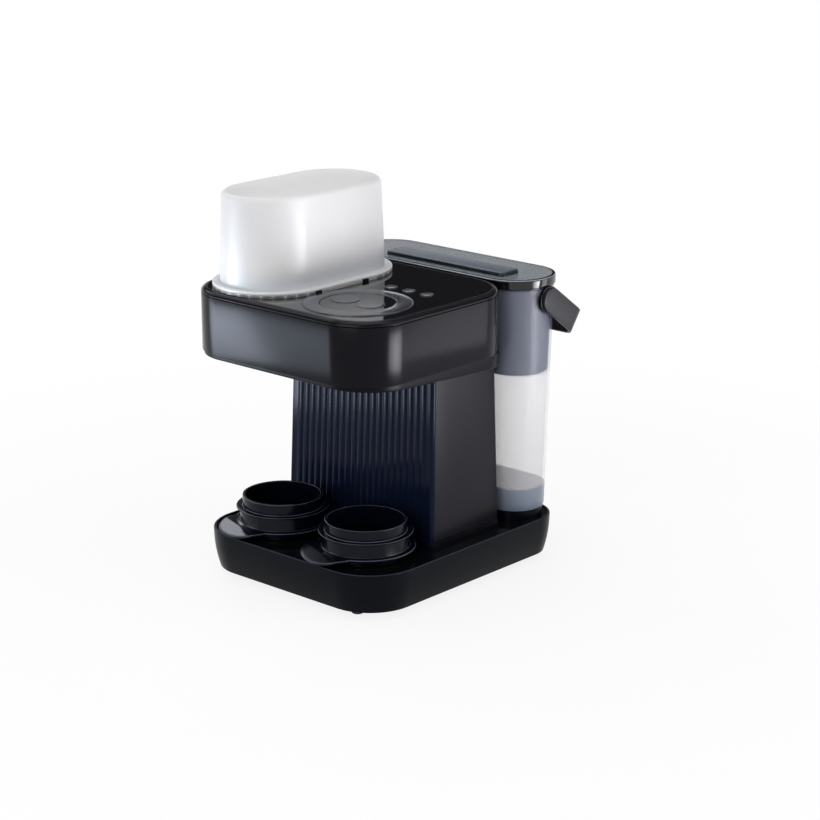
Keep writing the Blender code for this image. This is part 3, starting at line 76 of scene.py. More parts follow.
class Finish:
    """One material, or the world's air: its shader and the nodes that vary it."""

    def __init__(self, name, kind=bpy.data.materials):
        self.material = kind.new(name)
        self.material.use_nodes = True
        self.tree = self.material.node_tree
        self.tree.nodes.clear()

    def node(self, kind, settings=None, sockets=None, output=0):
        """Add a node: its settings first, then a value or a Field for each socket named."""
        made = self.tree.nodes.new("ShaderNode" + kind)
        for key, value in (settings or {}).items():
            setattr(made, key, value)
        for key, value in (sockets or {}).items():
            if isinstance(value, Field):
                self.tree.links.new(value.socket, made.inputs[key])
            else:
                made.inputs[key].default_value = value
        return Field(self, made.outputs[output]) if made.outputs else made

    def math(self, operation, first, second):
        return self.node("Math", {"operation": operation}, {0: first, 1: second})

    def blend(self, first, second, factor):
        """Colour between two colours."""
        return self.node("Mix", {"data_type": "RGBA"}, {0: factor, 6: first, 7: second}, output=2)

    def place(self, scale=(1, 1, 1)):
        """The piece's own coordinates in metres, stretched by a scale."""
        own = self.node("TexCoord", output=3)
        return self.node("Mapping", {}, {"Vector": own, "Scale": scale})

    def noise(self, scale, detail=2.0, rough=0.5, stretch=(1, 1, 1)):
        return self.node("TexNoise", {}, {"Vector": self.place(stretch), "Scale": scale,
                                          "Detail": detail, "Roughness": rough})

    def step(self, value, low, high):
        """0 below low, 1 above high, smooth between."""
        return self.node("MapRange", {"interpolation_type": "SMOOTHSTEP"},
                         {"Value": value, "From Min": low, "From Max": high})

    def bump(self, height, strength, distance):
        return self.node("Bump", {}, {"Height": height, "Strength": strength, "Distance": distance})

    def height(self):
        """The point's height above the floor, in metres."""
        return self.node("SeparateXYZ", {}, {"Vector": self.place()}, output=2)

    def paint_edge_highlight(self, tone, edge):
        """The tone with a painted highlight on rounded edges: paler where a face leans between upright and
        level.
        """
        normal = self.node("NewGeometry", output=1)
        lean = self.node("SeparateXYZ", {}, {"Vector": normal}, output=2)
        on_edge = self.step(lean, 0.35, 0.6) * (1 - self.step(lean, 0.86, 0.96))
        return self.blend(tone, paint(edge), on_edge)

    def surface(self, **sockets):
        """Close the material with a Principled shader; underscores in names stand for spaces."""
        named = {key.replace("_", " "): value for key, value in sockets.items()}
        shader = self.node("BsdfPrincipled", {}, named)
        self.node("OutputMaterial", {}, {"Surface": shader})
        return self.material


def shade(code, gain):
    """Linear colour of a six-digit sRGB code, made darker or lighter by a gain."""
    parts = np.array([int(code[i:i + 2], 16) / 255 for i in (0, 2, 4)])
    linear = np.where(parts <= 0.04045, parts / 12.92, ((parts + 0.055) / 1.055) ** 2.4)
    return (*np.minimum(linear * gain, 1).tolist(), 1.0)


def paint(code):
    return shade(code, 1)


camera_data = bpy.data.cameras.new("photo_camera")
camera_data.sensor_width = 36
camera_data.lens = 101.8
camera_data.clip_end = 60
camera = bpy.data.objects.new("photo_camera", camera_data)
camera.location = (1.4262, -1.5496, 0.7788)
camera.rotation_euler = np.radians((73.4, 0, 41.95))
bpy.context.collection.objects.link(camera)
bpy.context.scene.camera = camera
bpy.context.scene.view_settings.view_transform = "Standard"

# The paint shows as plain white to the eye, in reflections and through clear plastic, and a little
# less white close to the machine. To every other ray it is lit paint, which takes the soft shadow.
beside_white, beside_reach, full_reach = 0.85, 0.25, 0.9
board = Finish("floor_paint")
board_tone = board.blend(paint("f4f4f4"), paint("fafafa"), board.noise(6, 3))
painted = board.node("BsdfPrincipled", {}, {"Base Color": board_tone, "Roughness": 0.6})
glow = board.node("Emission", {}, {"Color": (1, 1, 1, 1), "Strength": 1.0})
seen, glossed, passed = [board.node("LightPath", output=place) for place in (0, 3, 6)]
shown = board.math("MAXIMUM", board.math("MAXIMUM", seen, glossed), passed)
away = board.node("VectorMath", {"operation": "LENGTH"}, {0: board.place()}, output=1)
white = shown * (beside_white + (1 - beside_white) * board.step(away, beside_reach, full_reach))
board.node("OutputMaterial", {}, {"Surface": board.node("MixShader", {}, {0: white, 1: painted, 2: glow})})


def set_piece(name, points, faces):
    """A piece of the set in the floor's paint."""
    mesh = bpy.data.meshes.new(name)
    mesh.from_pydata(points, [], faces)
    mesh.materials.append(board.material)
    piece = bpy.data.objects.new(name, mesh)
    bpy.context.collection.objects.link(piece)
    return piece


floor_half = 14
floor_points = [(-floor_half, -floor_half, 0), (floor_half, -floor_half, 0),
                (floor_half, floor_half, 0), (-floor_half, floor_half, 0)]
floor = set_piece("studio_floor", floor_points, [(0, 1, 2, 3)])

wall_radius, wall_height, wall_steps = 9, 2.0, 96
wall_turn = np.linspace(0, 2 * np.pi, wall_steps, endpoint=False)
wall_foot = np.column_stack([wall_radius * np.cos(wall_turn), wall_radius * np.sin(wall_turn), 0 * wall_turn])
wall_points = np.vstack([wall_foot, wall_foot + (0, 0, wall_height)])
wall_step = np.arange(wall_steps)
wall_next = (wall_step + 1) % wall_steps
wall_faces = np.column_stack([wall_step, wall_step + wall_steps, wall_next + wall_steps, wall_next])
wall = set_piece("studio_wall", wall_points.tolist(), wall_faces.tolist())

air = Finish("studio_air", bpy.data.worlds)
upward = air.node("SeparateXYZ", {}, {"Vector": air.node("TexCoord")}, output=2)
overhead = air.blend((0.02, 0.02, 0.023, 1), (0.44, 0.45, 0.47, 1), air.step(upward, 0.22, 0.9))
air.node("OutputWorld", {}, {"Surface": air.node("Background", {}, {"Color": overhead, "Strength": 1.0})})
bpy.context.scene.world = air.material


def softbox(name, place, aim, width, height, power, tint=(1, 1, 1), spread=180):
    """A rectangular lamp at a place, facing a point; a grid narrows its beam to a spread in degrees."""
    lamp = bpy.data.lights.new(name, "AREA")
    lamp.shape = "RECTANGLE"
    lamp.size = width
    lamp.size_y = height
    lamp.energy = power
    lamp.color = tint
    lamp.spread = np.radians(spread)
    holder = bpy.data.objects.new(name, lamp)
    holder.location = place
    holder.rotation_euler = (Vector(aim) - Vector(place)).to_track_quat("-Z", "Y").to_euler()
    holder.visible_camera = False
    bpy.context.collection.objects.link(holder)


# Small lamps stand low and near, most of them behind a grid, for the bright fields on the head's band,
# the right side and the left tab. The large ones light everything from the front, sides and top.
softbox("lamp_low_left", (-0.416, -0.388, 0.13), (-0.13, -0.12, 0.21), 0.20, 0.20, 0.165,
        tint=(0.78, 0.86, 1), spread=46)
softbox("lamp_low_front", (-0.28, -0.49, 0.13), (-0.03, -0.15, 0.21), 0.14, 0.20, 0.040,
        tint=(0.76, 0.88, 1), spread=46)
softbox("lamp_low_right", (0.60, 0.10, 0.12), (0.09, -0.13, 0.25), 0.34, 0.20, 0.38,
        tint=(0.97, 0.96, 1), spread=50)
softbox("lamp_low_back", (0.575, 0.50, 0.12), (0.1, 0, 0.12), 0.20, 0.24, 0.42, tint=(0.97, 0.94, 1))
softbox("lamp_tab", (-0.46, 0.105, 0.29), (-0.073, -0.142, 0.051), 0.14, 0.12, 0.007,
        tint=(0.88, 0.9, 1), spread=30)
softbox("lamp_front", (0.35, -2.4, 1.1), (0, 0, 0.2), 2.0, 1.8, 24)
softbox("lamp_rear_left", (-1.34, 1.30, 1.36), (0, 0, 0.2), 0.34, 0.40, 1.3)
softbox("lamp_high_left", (-2.0, -0.3, 1.85), (0, 0, 0.2), 2.2, 1.6, 14)
softbox("lamp_top", (0, -0.1, 2.4), (0, 0, 0), 2.0, 2.0, 21)
softbox("lamp_right", (2.3, 0.9, 1.4), (0, 0, 0.2), 2.4, 2.2, 19)

# Base shell: an injection-moulded bowl of satin black ABS with a thin rolled rim. It is screwed to
# the bottom plate from below and carries the decks inside its rim.
base_half, base_front, base_rear = 0.1175, -0.141849, 0.130751
base_front_radius, base_rear_radius = 0.050, 0.036
z_base, z_rim = 0.0072, 0.045
base_wall, base_draw, base_power = 0.0025, 0.0055, 2.2
rim_outer_round, rim_inner_round = 0.0011, 0.0007


def as_column(size):
    """A size as a column of values, one for each level."""
    return np.reshape(np.asarray(size, float), (-1, 1))


def rounded(half, front, rear, front_radius, rear_radius, steps=14):
    """Plan outline with round corners, anticlockwise from the front right: each corner is its centre
    plus its radius times a quarter of the unit circle. Sizes may be columns, one row per level."""
    half, front, rear = as_column(half), as_column(front), as_column(rear)
    front_radius, rear_radius = as_column(front_radius), as_column(rear_radius)
    turn = np.radians(np.linspace(0, 90, steps + 1))[None, :]
    corners = ((half - front_radius, front + front_radius, front_radius, -90),
               (half - rear_radius, rear - rear_radius, rear_radius, 0),
               (rear_radius - half, rear - rear_radius, rear_radius, 90),
               (front_radius - half, front + front_radius, front_radius, 180))
    x = np.hstack([cx + r * np.cos(turn + np.radians(start)) for cx, cy, r, start in corners])
    y = np.hstack([cy + r * np.sin(turn + np.radians(start)) for cx, cy, r, start in corners])
    return x, y


def corner_arc(size, start, end, steps):
    """How far outwards and upwards from a sharp corner the points of an arc lie that rounds it off by a
    size. The arc runs from a start to an end angle, where 0 degrees points outwards and 90 up."""
    angle = np.radians(np.linspace(start, end, steps + 1))
    middle = np.radians((start + end) / 2)
    return size * (np.cos(angle) - np.sign(np.cos(middle))), size * (np.sin(angle) - np.sign(np.sin(middle)))


def turn_edge(inset, z, size, start, end, steps=5):
    """Profile points, as insets and heights, that round off the corner at an inset and height."""
    outwards, upwards = corner_arc(size, start, end, steps)
    return np.column_stack([inset - outwards, z + upwards])


def rings_of(outline, profile):
    """Plan outlines stacked by a profile: row k is the outline at the k-th inset and height."""
    inset, z = profile[:, :1], profile[:, 1:2]
    x, y = outline(inset)
    return np.dstack([x, y, np.broadcast_to(z, x.shape)])


def skin(name, rings, material, body, nodes=(), along=False, caps=(False, False), sharp=38):
    """A piece from a grid of points (rings, points, 3): quads between neighbouring rings, closed
    round each ring, closed from the last ring to the first if along, or capped flat."""
    rows, points = rings.shape[:2]
    index = np.arange(rows * points).reshape(rows, points)
    table = np.vstack([index, index[:1]]) if along else index
    table = np.hstack([table, table[:, :1]])
    faces = np.stack([table[:-1, :-1], table[:-1, 1:], table[1:, 1:], table[1:, :-1]], -1)
    faces = faces.reshape(-1, 4).tolist()
    if caps[0]:
        faces.append(index[0, ::-1].tolist())
    if caps[1]:
        faces.append(index[-1].tolist())
    mesh = bpy.data.meshes.new(name)
    mesh.from_pydata(rings.reshape(-1, 3).tolist(), [], faces)
    bm = bmesh.new()
    bm.from_mesh(mesh)
    bmesh.ops.remove_doubles(bm, verts=bm.verts, dist=0.000002)
    bmesh.ops.recalc_face_normals(bm, faces=bm.faces)
    if bm.calc_volume(signed=True) < 0:
        bmesh.ops.reverse_faces(bm, faces=bm.faces)
    bm.to_mesh(mesh)
    bm.free()
    mesh.shade_smooth()
    mesh.set_sharp_from_angle(angle=np.radians(sharp))
    mesh.materials.append(material)
    piece = bpy.data.objects.new(name, mesh)
    bpy.context.collection.objects.link(piece)
    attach(piece, body)
    if nodes:
        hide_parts(*nodes)
    return piece


def moulded(name, code, rough, grain=2600, relief=0.00002, shine=0.5, edge=None):
    """Moulded plastic: fine spark-eroded grain in the relief, slow patches in tone and gloss."""
    finish = Finish(name)
    grains = finish.noise(grain, 2, 0.6)
    patches = finish.noise(38, 4, 0.55)
    tone = finish.blend(shade(code, 0.86), shade(code, 1.16), patches)
    if edge:
        tone = finish.paint_edge_highlight(tone, edge)
    return finish.surface(Base_Color=tone,
                          Roughness=rough * 0.94 + rough * 0.12 * (patches * 0.6 + grains * 0.4),
                          Normal=finish.bump(grains, 0.35, relief), Specular_IOR_Level=shine)


def dress(material, *nodes):
    """Give CAD nodes a finish in place of their plain one."""
    for node in nodes:
        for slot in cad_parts[node].material_slots:
            slot.material = material


def base_plan(inset):
    return rounded(base_half - inset, base_front + inset, base_rear - inset,
                   base_front_radius - inset, base_rear_radius - inset)


# The wall comes in by a power of the way down that is a little over the square.
fall = np.linspace(0.03, 1, 22)
outer = np.column_stack([base_draw * fall ** base_power, z_rim - fall * (z_rim - z_base)])
inner = outer[:0:-1] + (base_wall, 0)
base_profile = np.vstack([turn_edge(0, z_rim, rim_outer_round, 90, 0), outer[1:], inner,
                          turn_edge(base_wall, z_rim, rim_inner_round, 180, 90)])
# Its edge colour is a painted highlight on rounded edges, here and wherever satin black is used.
satin_black = moulded("satin_black", "06080f", 0.32, shine=0.07, edge="343844")
skin("base_bowl", rings_of(base_plan, base_profile), satin_black, "machine", ["base_shell"], along=True)

# Bottom: a flat plate of grey ABS inside the bowl, held by three plated screws, on four soft feet.
# The pump's housing and the drive pinion are of the same grey plastic.
grey_plastic = moulded("grey_plastic", "8b8f94", 0.5)
dress(grey_plastic, "base_plate", "drive_pinion", "water_pump")
rubber = moulded("foot_rubber", "1b1b1c", 0.75, grain=5200, relief=0.00004)
dress(rubber, "foot_front_left", "foot_front_right", "foot_rear_left", "foot_rear_right")


def plated(name, code, rough):
    """Bright metal with fine drawn lines and a little unevenness."""
    finish = Finish(name)
    lines = finish.noise(900, 3, 0.6, (1, 1, 8))
    return finish.surface(Base_Color=paint(code), Metallic=1.0, Roughness=rough + 0.12 * lines,
                          Normal=finish.bump(lines, 0.3, 0.00002))


steel = plated("drawn_steel", "c9ccd0", 0.22)
dress(steel, "base_screw_1", "base_screw_2", "base_screw_3", "gear_motor", "water_nozzle", "heater")


# Decks: the drip tray in front, which lifts out, and the rear deck with its kerbs, both in polished
# black ABS that shows wiping marks.
def polished(name, code, rough=0.07, marks=0.10, shine=0.5, bend=1.5, edge=None):
    """High-gloss plastic: nearly mirror, with hair-fine wiping marks and faint mould waviness. Bend is
    its index of refraction."""
    finish = Finish(name)
    wipes = finish.step(finish.noise(420, 4, 0.7, (1, 6, 1)), 0.52, 0.8)
    haze = finish.noise(24, 3, 0.5)
    waves = finish.noise(60, 1, 0.5)
    tone = finish.blend(paint(code), shade(code, 1.25), haze)
    if edge:
        tone = finish.paint_edge_highlight(tone, edge)
    return finish.surface(Base_Color=tone,
                          Roughness=rough + marks * wipes * 0.5 + marks * 0.25 * haze,
                          Normal=finish.bump(waves, 0.06, 0.0004), Specular_IOR_Level=shine, IOR=bend)


gloss_black = polished("gloss_black", "08090c")
dress(gloss_black, "drip_tray", "rear_deck")

# Column: a hidden structural shell, a reeded black splash panel that clips on in front, and a satin
# cover snapped on to each side. All of it ends under the head, whose underside slopes.
fit_gap = 0.0003
head_front, head_rear, z_band = -0.148749, 0.058751, 0.2207
pan_drop, pan_fall = 0.0037, 0.011
z_deck, z_plinth, z_column_top = 0.0435, 0.0489, 0.2060
column_half, column_front, column_rear = 0.0893, -0.031049, 0.055451
half_flare, front_flare, rear_flare = 0.003, 0.0056, 0.004
reeds, reed_steps, reed_depth, reeded_share = 21, 16, 0.0009, 0.91
panel_height, panel_depth, panel_round = 0.165, 0.004, 0.0034
cover_half, cover_edge = 0.001, 0.0006


def underside(y):
    """The head's sloping underside: it falls evenly from front to rear."""
    return z_band - pan_drop - pan_fall * (y - head_front) / (head_rear - head_front)


def column_size(z):
    """Half width, front and rear of the column at a height; it spreads evenly towards its foot."""
    down = 1 - (z - z_deck) / (z_column_top - z_deck)
    return column_half + half_flare * down, column_front - front_flare * down, column_rear + rear_flare * down


def splash_rings():
    """Level outlines of the panel: a rounded edge, half a sine wave for each reed, the other edge and a
    plain back. The levels lean together towards the head's underside."""
    share = np.linspace(0, 1, 40)[:, None]
    level = z_deck + fit_gap + share * panel_height
    half, front, rear = column_size(level)
    corner = np.radians(np.linspace(0, 90, 9))[None, :]
    along = np.linspace(0, 1, reeds * reed_steps + 1)[None, :]
    edge_x = -(half - panel_round * (1 - np.cos(corner)))
    edge_y = front + panel_round * (1 - np.sin(corner))
    reed_x = reeded_share * half * (2 * along - 1)
    reed_y = front + reed_depth * (1 - np.abs(np.sin(np.pi * along * reeds)))
    back_y = front + panel_depth
    x = np.hstack([edge_x, reed_x, -edge_x[:, ::-1], half, -half])
    y = np.hstack([edge_y, reed_y, edge_y[:, ::-1], back_y, back_y])
    z = level[0] + share * (underside(y) - fit_gap - level[0])
    return np.dstack([x, y, z])


navy_gloss = polished("navy_gloss", "0b1122", 0.12, shine=0.06)
skin("splash_reeds", splash_rings(), navy_gloss, "machine", ["splash_panel"], caps=(True, True), sharp=50)
side_grey = moulded("side_grey", "0b0a13", 0.30, shine=0.15)
dress(satin_black, "column_shell", "tank_dock", "power_inlet")


def side_cover(side):
    """A thin cover between the splash panel and the back, its four upright edges softened."""
    level = np.linspace(z_plinth, z_column_top, 12)[:, None]
    half, front, rear = column_size(level)
    front = front + panel_depth + fit_gap
    x, y = rounded(np.full_like(half, cover_half), front, rear, cover_edge, cover_edge, 4)
    share = (level - level[0]) / (level[-1] - level[0])
    z = level[0] + share * (underside(y) - fit_gap - level[0])
    return np.dstack([side * (half - cover_half) + x, y, z])


skin("left_side_cover", side_cover(-1), side_grey, "machine", ["side_panel_left"], caps=(True, True))
skin("right_side_cover", side_cover(1), side_grey, "machine", ["side_panel_right"], caps=(True, True))

# Bottle stands: a cup on a round plate with a finger tab, moulded in one piece, and a drop-in collar
# that suits another bottle width. Both are satin black polypropylene.
stand_x, stand_y = 0.0537, -0.083249
stand_steps, collar_steps = 180, 144
plate_radius, plate_start, plate_thick, z_plate = 0.0462, 0.0427, 0.0025, 0.0495
tab_length, tab_fall = 0.0163, 0.0035
tab_middle, tab_half_turn = np.radians(-108), np.radians(42)
spigot_radius, spigot_bevel, z_spigot = 0.036, 0.0005, 0.0423
cup_outer, cup_inner, z_cup_floor, z_cup_top, floor_bevel = 0.0405, 0.0383, 0.0453, 0.0645, 0.0006
# The fillet at the cup's foot: points out from its wall and up from the plate
cup_fillet = ((0.0007, 0), (0.0002, 0.0003), (0, 0.0009))
seat_radius, seat_depth = 0.0345, 0.0005
collar_inner, collar_outer, z_collar, z_collar_top = 0.0356, 0.0380, 0.0568, 0.0771
lip_outer, z_lip, z_lip_top, lip_round = 0.0440, 0.0648, 0.0666, 0.0007
collar_bevel, collar_inner_round, crease_wide, crease_high = 0.0004, 0.0006, 0.0006, 0.0005
turn = np.linspace(0, 2 * np.pi, stand_steps, endpoint=False)[None, :]


def plate_edge():
    """Plate radius by angle: a cubic swell to each side of the tab's middle."""
    away = np.abs((turn - tab_middle + np.pi) % (2 * np.pi) - np.pi) / tab_half_turn
    return plate_radius + tab_length * np.maximum(0, 1 - away ** 3)


def tab_bend(reach, z):
    """Points at a reach and height, lowered evenly beyond the line where the tab leaves the plate."""
    beyond = np.maximum(0, reach * np.cos(turn - tab_middle) - plate_radius)
    return np.dstack([reach, z - tab_fall / tab_length * beyond])


def circles(pairs):
    """Full circles, one for each pair of a radius and a height."""
    table = np.array(pairs)
    full = np.ones_like(turn)
    return np.dstack([table[:, :1] * full, table[:, 1:] * full])


def stand_rings(centre):
    """Rings from the spigot up to the plate, out to the tab's edge, back to the cup and down inside."""
    half_thick = plate_thick / 2
    plate_top = z_plate + plate_thick
    edge = np.radians(np.linspace(-90, 90, 9))[:, None]
    flat_end = plate_edge() - half_thick
    lip = tab_bend(flat_end + half_thick * np.cos(edge), z_plate + half_thick + half_thick * np.sin(edge))
    spread = plate_start + (flat_end - plate_start) * np.linspace(0.15, 1, 12)[:, None]
    under = tab_bend(spread, z_plate)
    above = tab_bend(spread[::-1], plate_top)
    spigot = circles([(spigot_radius - spigot_bevel, z_spigot), (spigot_radius, z_spigot + spigot_bevel),
                      (spigot_radius, z_plate)])
    fillet = [(cup_outer + out, plate_top + up) for out, up in cup_fillet]
    rim_half = (cup_outer - cup_inner) / 2
    angle = np.radians(np.linspace(0, 180, 9))
    rim = np.column_stack([cup_inner + rim_half + rim_half * np.cos(angle),
                           z_cup_top - rim_half + rim_half * np.sin(angle)])
    inside = [(cup_inner, z_cup_floor + floor_bevel), (cup_inner - floor_bevel, z_cup_floor),
              (seat_radius, z_cup_floor), (seat_radius, z_cup_floor - seat_depth)]
    cup = circles([*fillet, *rim.tolist(), *inside])
    table = np.vstack([spigot, under, lip, above, cup])
    return np.dstack([centre + table[..., 0] * np.cos(turn), stand_y + table[..., 0] * np.sin(turn),
                      table[..., 1]])


def lathe(profile, centre, steps):
    """A turned form: each profile point (radius, z) carried round the upright axis at a centre."""
    profile = np.array(profile)
    angle = np.linspace(0, 2 * np.pi, steps, endpoint=False)[None, :]
    radius, z = profile[:, :1], profile[:, 1:]
    return np.dstack([centre[0] + radius * np.cos(angle), centre[1] + radius * np.sin(angle),
                      z + 0 * angle])


def round_over(radius, z, size, start, end, steps=4):
    """Profile points, as radii and heights, that round off the corner at a radius and height."""
    outwards, upwards = corner_arc(size, start, end, steps)
    return np.column_stack([radius + outwards, z + upwards]).tolist()


collar_profile = (round_over(collar_outer, z_collar_top, lip_round, 0, 90)
                  + round_over(collar_inner, z_collar_top, collar_inner_round, 90, 180)
                  + [(collar_inner, z_collar + collar_bevel), (collar_inner + collar_bevel, z_collar),
                     (collar_outer - collar_bevel, z_collar), (collar_outer, z_collar + collar_bevel),
                     (collar_outer, z_lip)]
                  + round_over(lip_outer, z_lip, lip_round, -90, 0)
                  + round_over(lip_outer, z_lip_top, lip_round, 0, 90)
                  + [(collar_outer + crease_wide, z_lip_top), (collar_outer, z_lip_top + crease_high)])
# Its edge colour is a painted highlight on the stands' and collars' rounded rims.
navy_satin = moulded("navy_satin", "070a14", 0.17, shine=0.13, edge="454b58")
for side, centre in (("left", -stand_x), ("right", stand_x)):
    skin(side + "_stand", stand_rings(centre), navy_satin, "stand_" + side, ["stand_base_" + side],
         caps=(True, True))
    skin(side + "_collar", lathe(collar_profile, (centre, stand_y), collar_steps), navy_satin,
         "collar_" + side, ["stand_collar_" + side], along=True)

# Head: a wrap-round band painted graphite, a black sloping pan under it, and a polished black bezel
# with a rolled shoulder that frames the glossy panel.
head_half, head_front_radius, head_rear_radius, head_steps = 0.1175, 0.047, 0.050, 22
band_wall, band_round, z_band_top = 0.0025, 0.0006, 0.2750
pan_inset, pan_behind, pan_rear_radius, pan_round = 0.0018, 0.001, 0.046, 0.0014
shoulder_wide, shoulder_high, z_top = 0.005, 0.0043, 0.28
bezel_foot_in, bezel_inner, ledge_inner, z_ledge, z_bezel = 0.0004, 0.0062, 0.0113, 0.278, 0.273


def head_plan(inset):
    return rounded(head_half - inset, head_front + inset, head_rear - inset,
                   head_front_radius - inset, head_rear_radius - inset, head_steps)


band_profile = np.vstack([turn_edge(0, z_band_top, band_round, 90, 0, 3),
                          turn_edge(0, z_band, band_round, 0, -90, 3),
                          [(band_wall, z_band), (band_wall, z_band_top)]])


def lacquer(name, code, rough):
    """Metal-effect lacquer: fine flake that varies the tone and the gloss."""
    finish = Finish(name)
    flake = finish.noise(3800, 1, 0.5)
    cloud = finish.noise(20, 3, 0.5)
    return finish.surface(Base_Color=finish.blend(shade(code, 0.9), shade(code, 1.15), flake), Metallic=0.15,
                          Roughness=rough + 0.05 * flake + 0.04 * cloud,
                          Normal=finish.bump(flake, 0.15, 0.00001), Specular_IOR_Level=0.11)


graphite = lacquer("graphite_lacquer", "0a0a10", 0.13)
skin("head_band", rings_of(head_plan, band_profile), graphite, "machine", ["head_shell"], along=True)


def pan_plan(inset):
    all_round = inset + pan_inset
    return rounded(head_half - all_round, head_front + all_round, head_rear + pan_behind - inset,
                   head_front_radius - all_round, pan_rear_radius - inset, head_steps)


def pan_rings():
    """Upper rings lie level under the band; lower rings follow the slope and roll in to the floor."""
    roll = turn_edge(0, 0, pan_round, 0, -90)
    x, y = pan_plan(roll[:, :1])
    low = np.dstack([x, y, underside(y) + roll[:, 1:]])
    x, y = pan_plan(as_column((band_wall, 0, 0)))
    top = np.dstack([x, y, np.full(x.shape, z_band - fit_gap)])
    top[2] = low[0] * 0.3 + top[1] * 0.7
    return np.vstack([top, low])


skin("head_pan", pan_rings(), satin_black, "machine", ["head_underside"], caps=(True, True))
roll = np.radians(np.linspace(0, 90, 14))
shoulder = np.column_stack([shoulder_wide * (1 - np.cos(roll)), z_top - shoulder_high * (1 - np.sin(roll))])
bezel_foot = z_band_top + fit_gap
bezel_profile = np.vstack([[(bezel_foot_in, bezel_foot)], shoulder,
                           [(bezel_inner, z_top), (bezel_inner, z_ledge), (ledge_inner, z_ledge),
                            (ledge_inner, z_bezel), (band_wall + fit_gap, z_bezel),
                            (band_wall + fit_gap, bezel_foot)]])
bezel_black = polished("bezel_black", "0d0b10", 0.16, shine=0.15)
skin("top_frame", rings_of(head_plan, bezel_profile), bezel_black, "machine", ["top_bezel"], along=True)
panel_black = polished("panel_black", "050507", 0.04, marks=0.06, shine=1.0, bend=1.8)
dress(panel_black, "top_panel", "dial_hub")

# Hopper: a white funnel that hangs in the head by its rim, the stirrer and the toothed wheel under
# it, and the chute that drops each measure. All are white polypropylene; the rim under the cover's
# flange is painted grey, as painted shade under the flange.
hopper_x, hopper_half, hopper_front, hopper_rear = -0.057, 0.056, -0.143749, 0.047751
neck_outer, neck_inner, neck_draw = 0.006, 0.0077, 0.0001
z_rim_low, z_rim_top, rim_round = 0.2803, 0.2821, 0.0005
white_plastic = moulded("white_plastic", "e9e9e6", 0.42)
dress(white_plastic, "hopper_bowl", "stirrer", "dosing_wheel", "powder_chute", "valve_cage",
      "filter_cartridge")


def hopper_plan(inset):
    x, y = rounded(hopper_half - inset, hopper_front + inset, hopper_rear - inset,
                   hopper_half - inset, hopper_half - inset, 26)
    return x + hopper_x, y


hopper_rim_profile = np.vstack([[(neck_outer, z_ledge), (neck_outer, z_rim_low)],
                                turn_edge(0, z_rim_low, rim_round, -90, 0, 3),
                                turn_edge(0, z_rim_top, rim_round, 0, 90, 3),
                                turn_edge(neck_inner, z_rim_top, rim_round, 90, 180, 3),
                                [(neck_inner + neck_draw, z_ledge)]])
# The rim is painted grey: painted shade under the cover's flange.
rim_painted_shade = moulded("rim_painted_shade", "6a6b70", 0.4)
skin("hopper_rim", rings_of(hopper_plan, hopper_rim_profile), rim_painted_shade, "machine", along=True)

# Hopper cover: a dome blown in milky polypropylene with a flat rim. It lifts off to fill the hopper;
# two small catches stand at the right side of its rim.
z_cover, z_crown, crown_rise = 0.2824, 0.3689, 0.0015
cover_round, cover_wall, sides_foot, wall_top = 0.005, 0.0018, 0.004, 0.010
wall_spread, spread_power = 0.003, 1.15
flange_thick, flange_round, flange_root, flange_rise = 0.0025, 0.0006, 0.0062, 0.0003
cover_foot = 0.0088


def cover_sides(inwards):
    """Profile of the wall from its foot up and over the round edge, moved in by the wall's thickness.
    The wall spreads downwards by a power of the height that is a little over one."""
    rise = np.linspace(sides_foot, z_crown - cover_round - z_cover, 26)
    spread = wall_spread * (1 - (rise / rise[-1]) ** spread_power)
    wall = np.column_stack([wall_top - spread + inwards, z_cover + rise])
    edge = turn_edge(wall_top + inwards, z_crown - inwards, cover_round - inwards, 0, 90, 10)
    return np.vstack([wall, edge[1:]])


def cover_crown(thick):
    """Profile of the crown from the round edge to the middle line, which rises by a quarter sine."""
    share = np.linspace(0, 1, 12)[1:]
    first = wall_top + cover_round
    return np.column_stack([first + (hopper_half - first) * share,
                            z_crown + crown_rise * np.sin(share * np.pi / 2) - thick])


flange = np.vstack([turn_edge(0, z_cover, flange_round, -90, 0, 3),
                    turn_edge(0, z_cover + flange_thick, flange_round, 0, 90, 3),
                    [(flange_root, z_cover + flange_thick),
                     (flange_root + flange_round, z_cover + flange_thick + flange_rise)]])
cover_profile = np.vstack([cover_crown(cover_wall)[::-1], cover_sides(cover_wall)[::-1],
                           [(cover_foot, z_cover)], flange, cover_sides(0), cover_crown(0)])
# The milky wall is painted bluer and darker towards its foot, painted shade and reflection of the dark
# panel round it, and the flange below it is grey.
milk = Finish("milky_polypropylene")
milk_height = milk.height()
milk_foot_shade = milk.step(milk_height, 0.280, 0.312)
milk_cloud = milk.noise(30, 3, 0.5)
milk_grain = milk.noise(2200, 2, 0.6)
milk_tone = milk.blend(paint("d3dae2"), milk.blend(paint("f1efef"), paint("f6f4f4"), milk_cloud), milk_foot_shade)
milk_tone = milk.blend(paint("d6d6d6"), milk_tone, milk.step(milk_height, 0.2852, 0.2866))
frosted_white = milk.surface(Base_Color=milk_tone, Roughness=0.30 + 0.10 * milk_grain,
                             Normal=milk.bump(milk_grain, 0.3, 0.00002), Subsurface_Weight=0.6,
                             Subsurface_Radius=(0.012, 0.012, 0.012), Subsurface_Scale=1.0,
                             Coat_Weight=0.15, Coat_Roughness=0.15)
skin("powder_cover", rings_of(hopper_plan, cover_profile), frosted_white, "cover", ["hopper_cover"])
catch_half, catch_reach, catch_bevel, catch_radius, catch_inset = 0.0013, 0.0036, 0.0003, 0.0006, 0.0007
catch_levels = (0.2802, 0.2805, 0.2827, 0.2829)


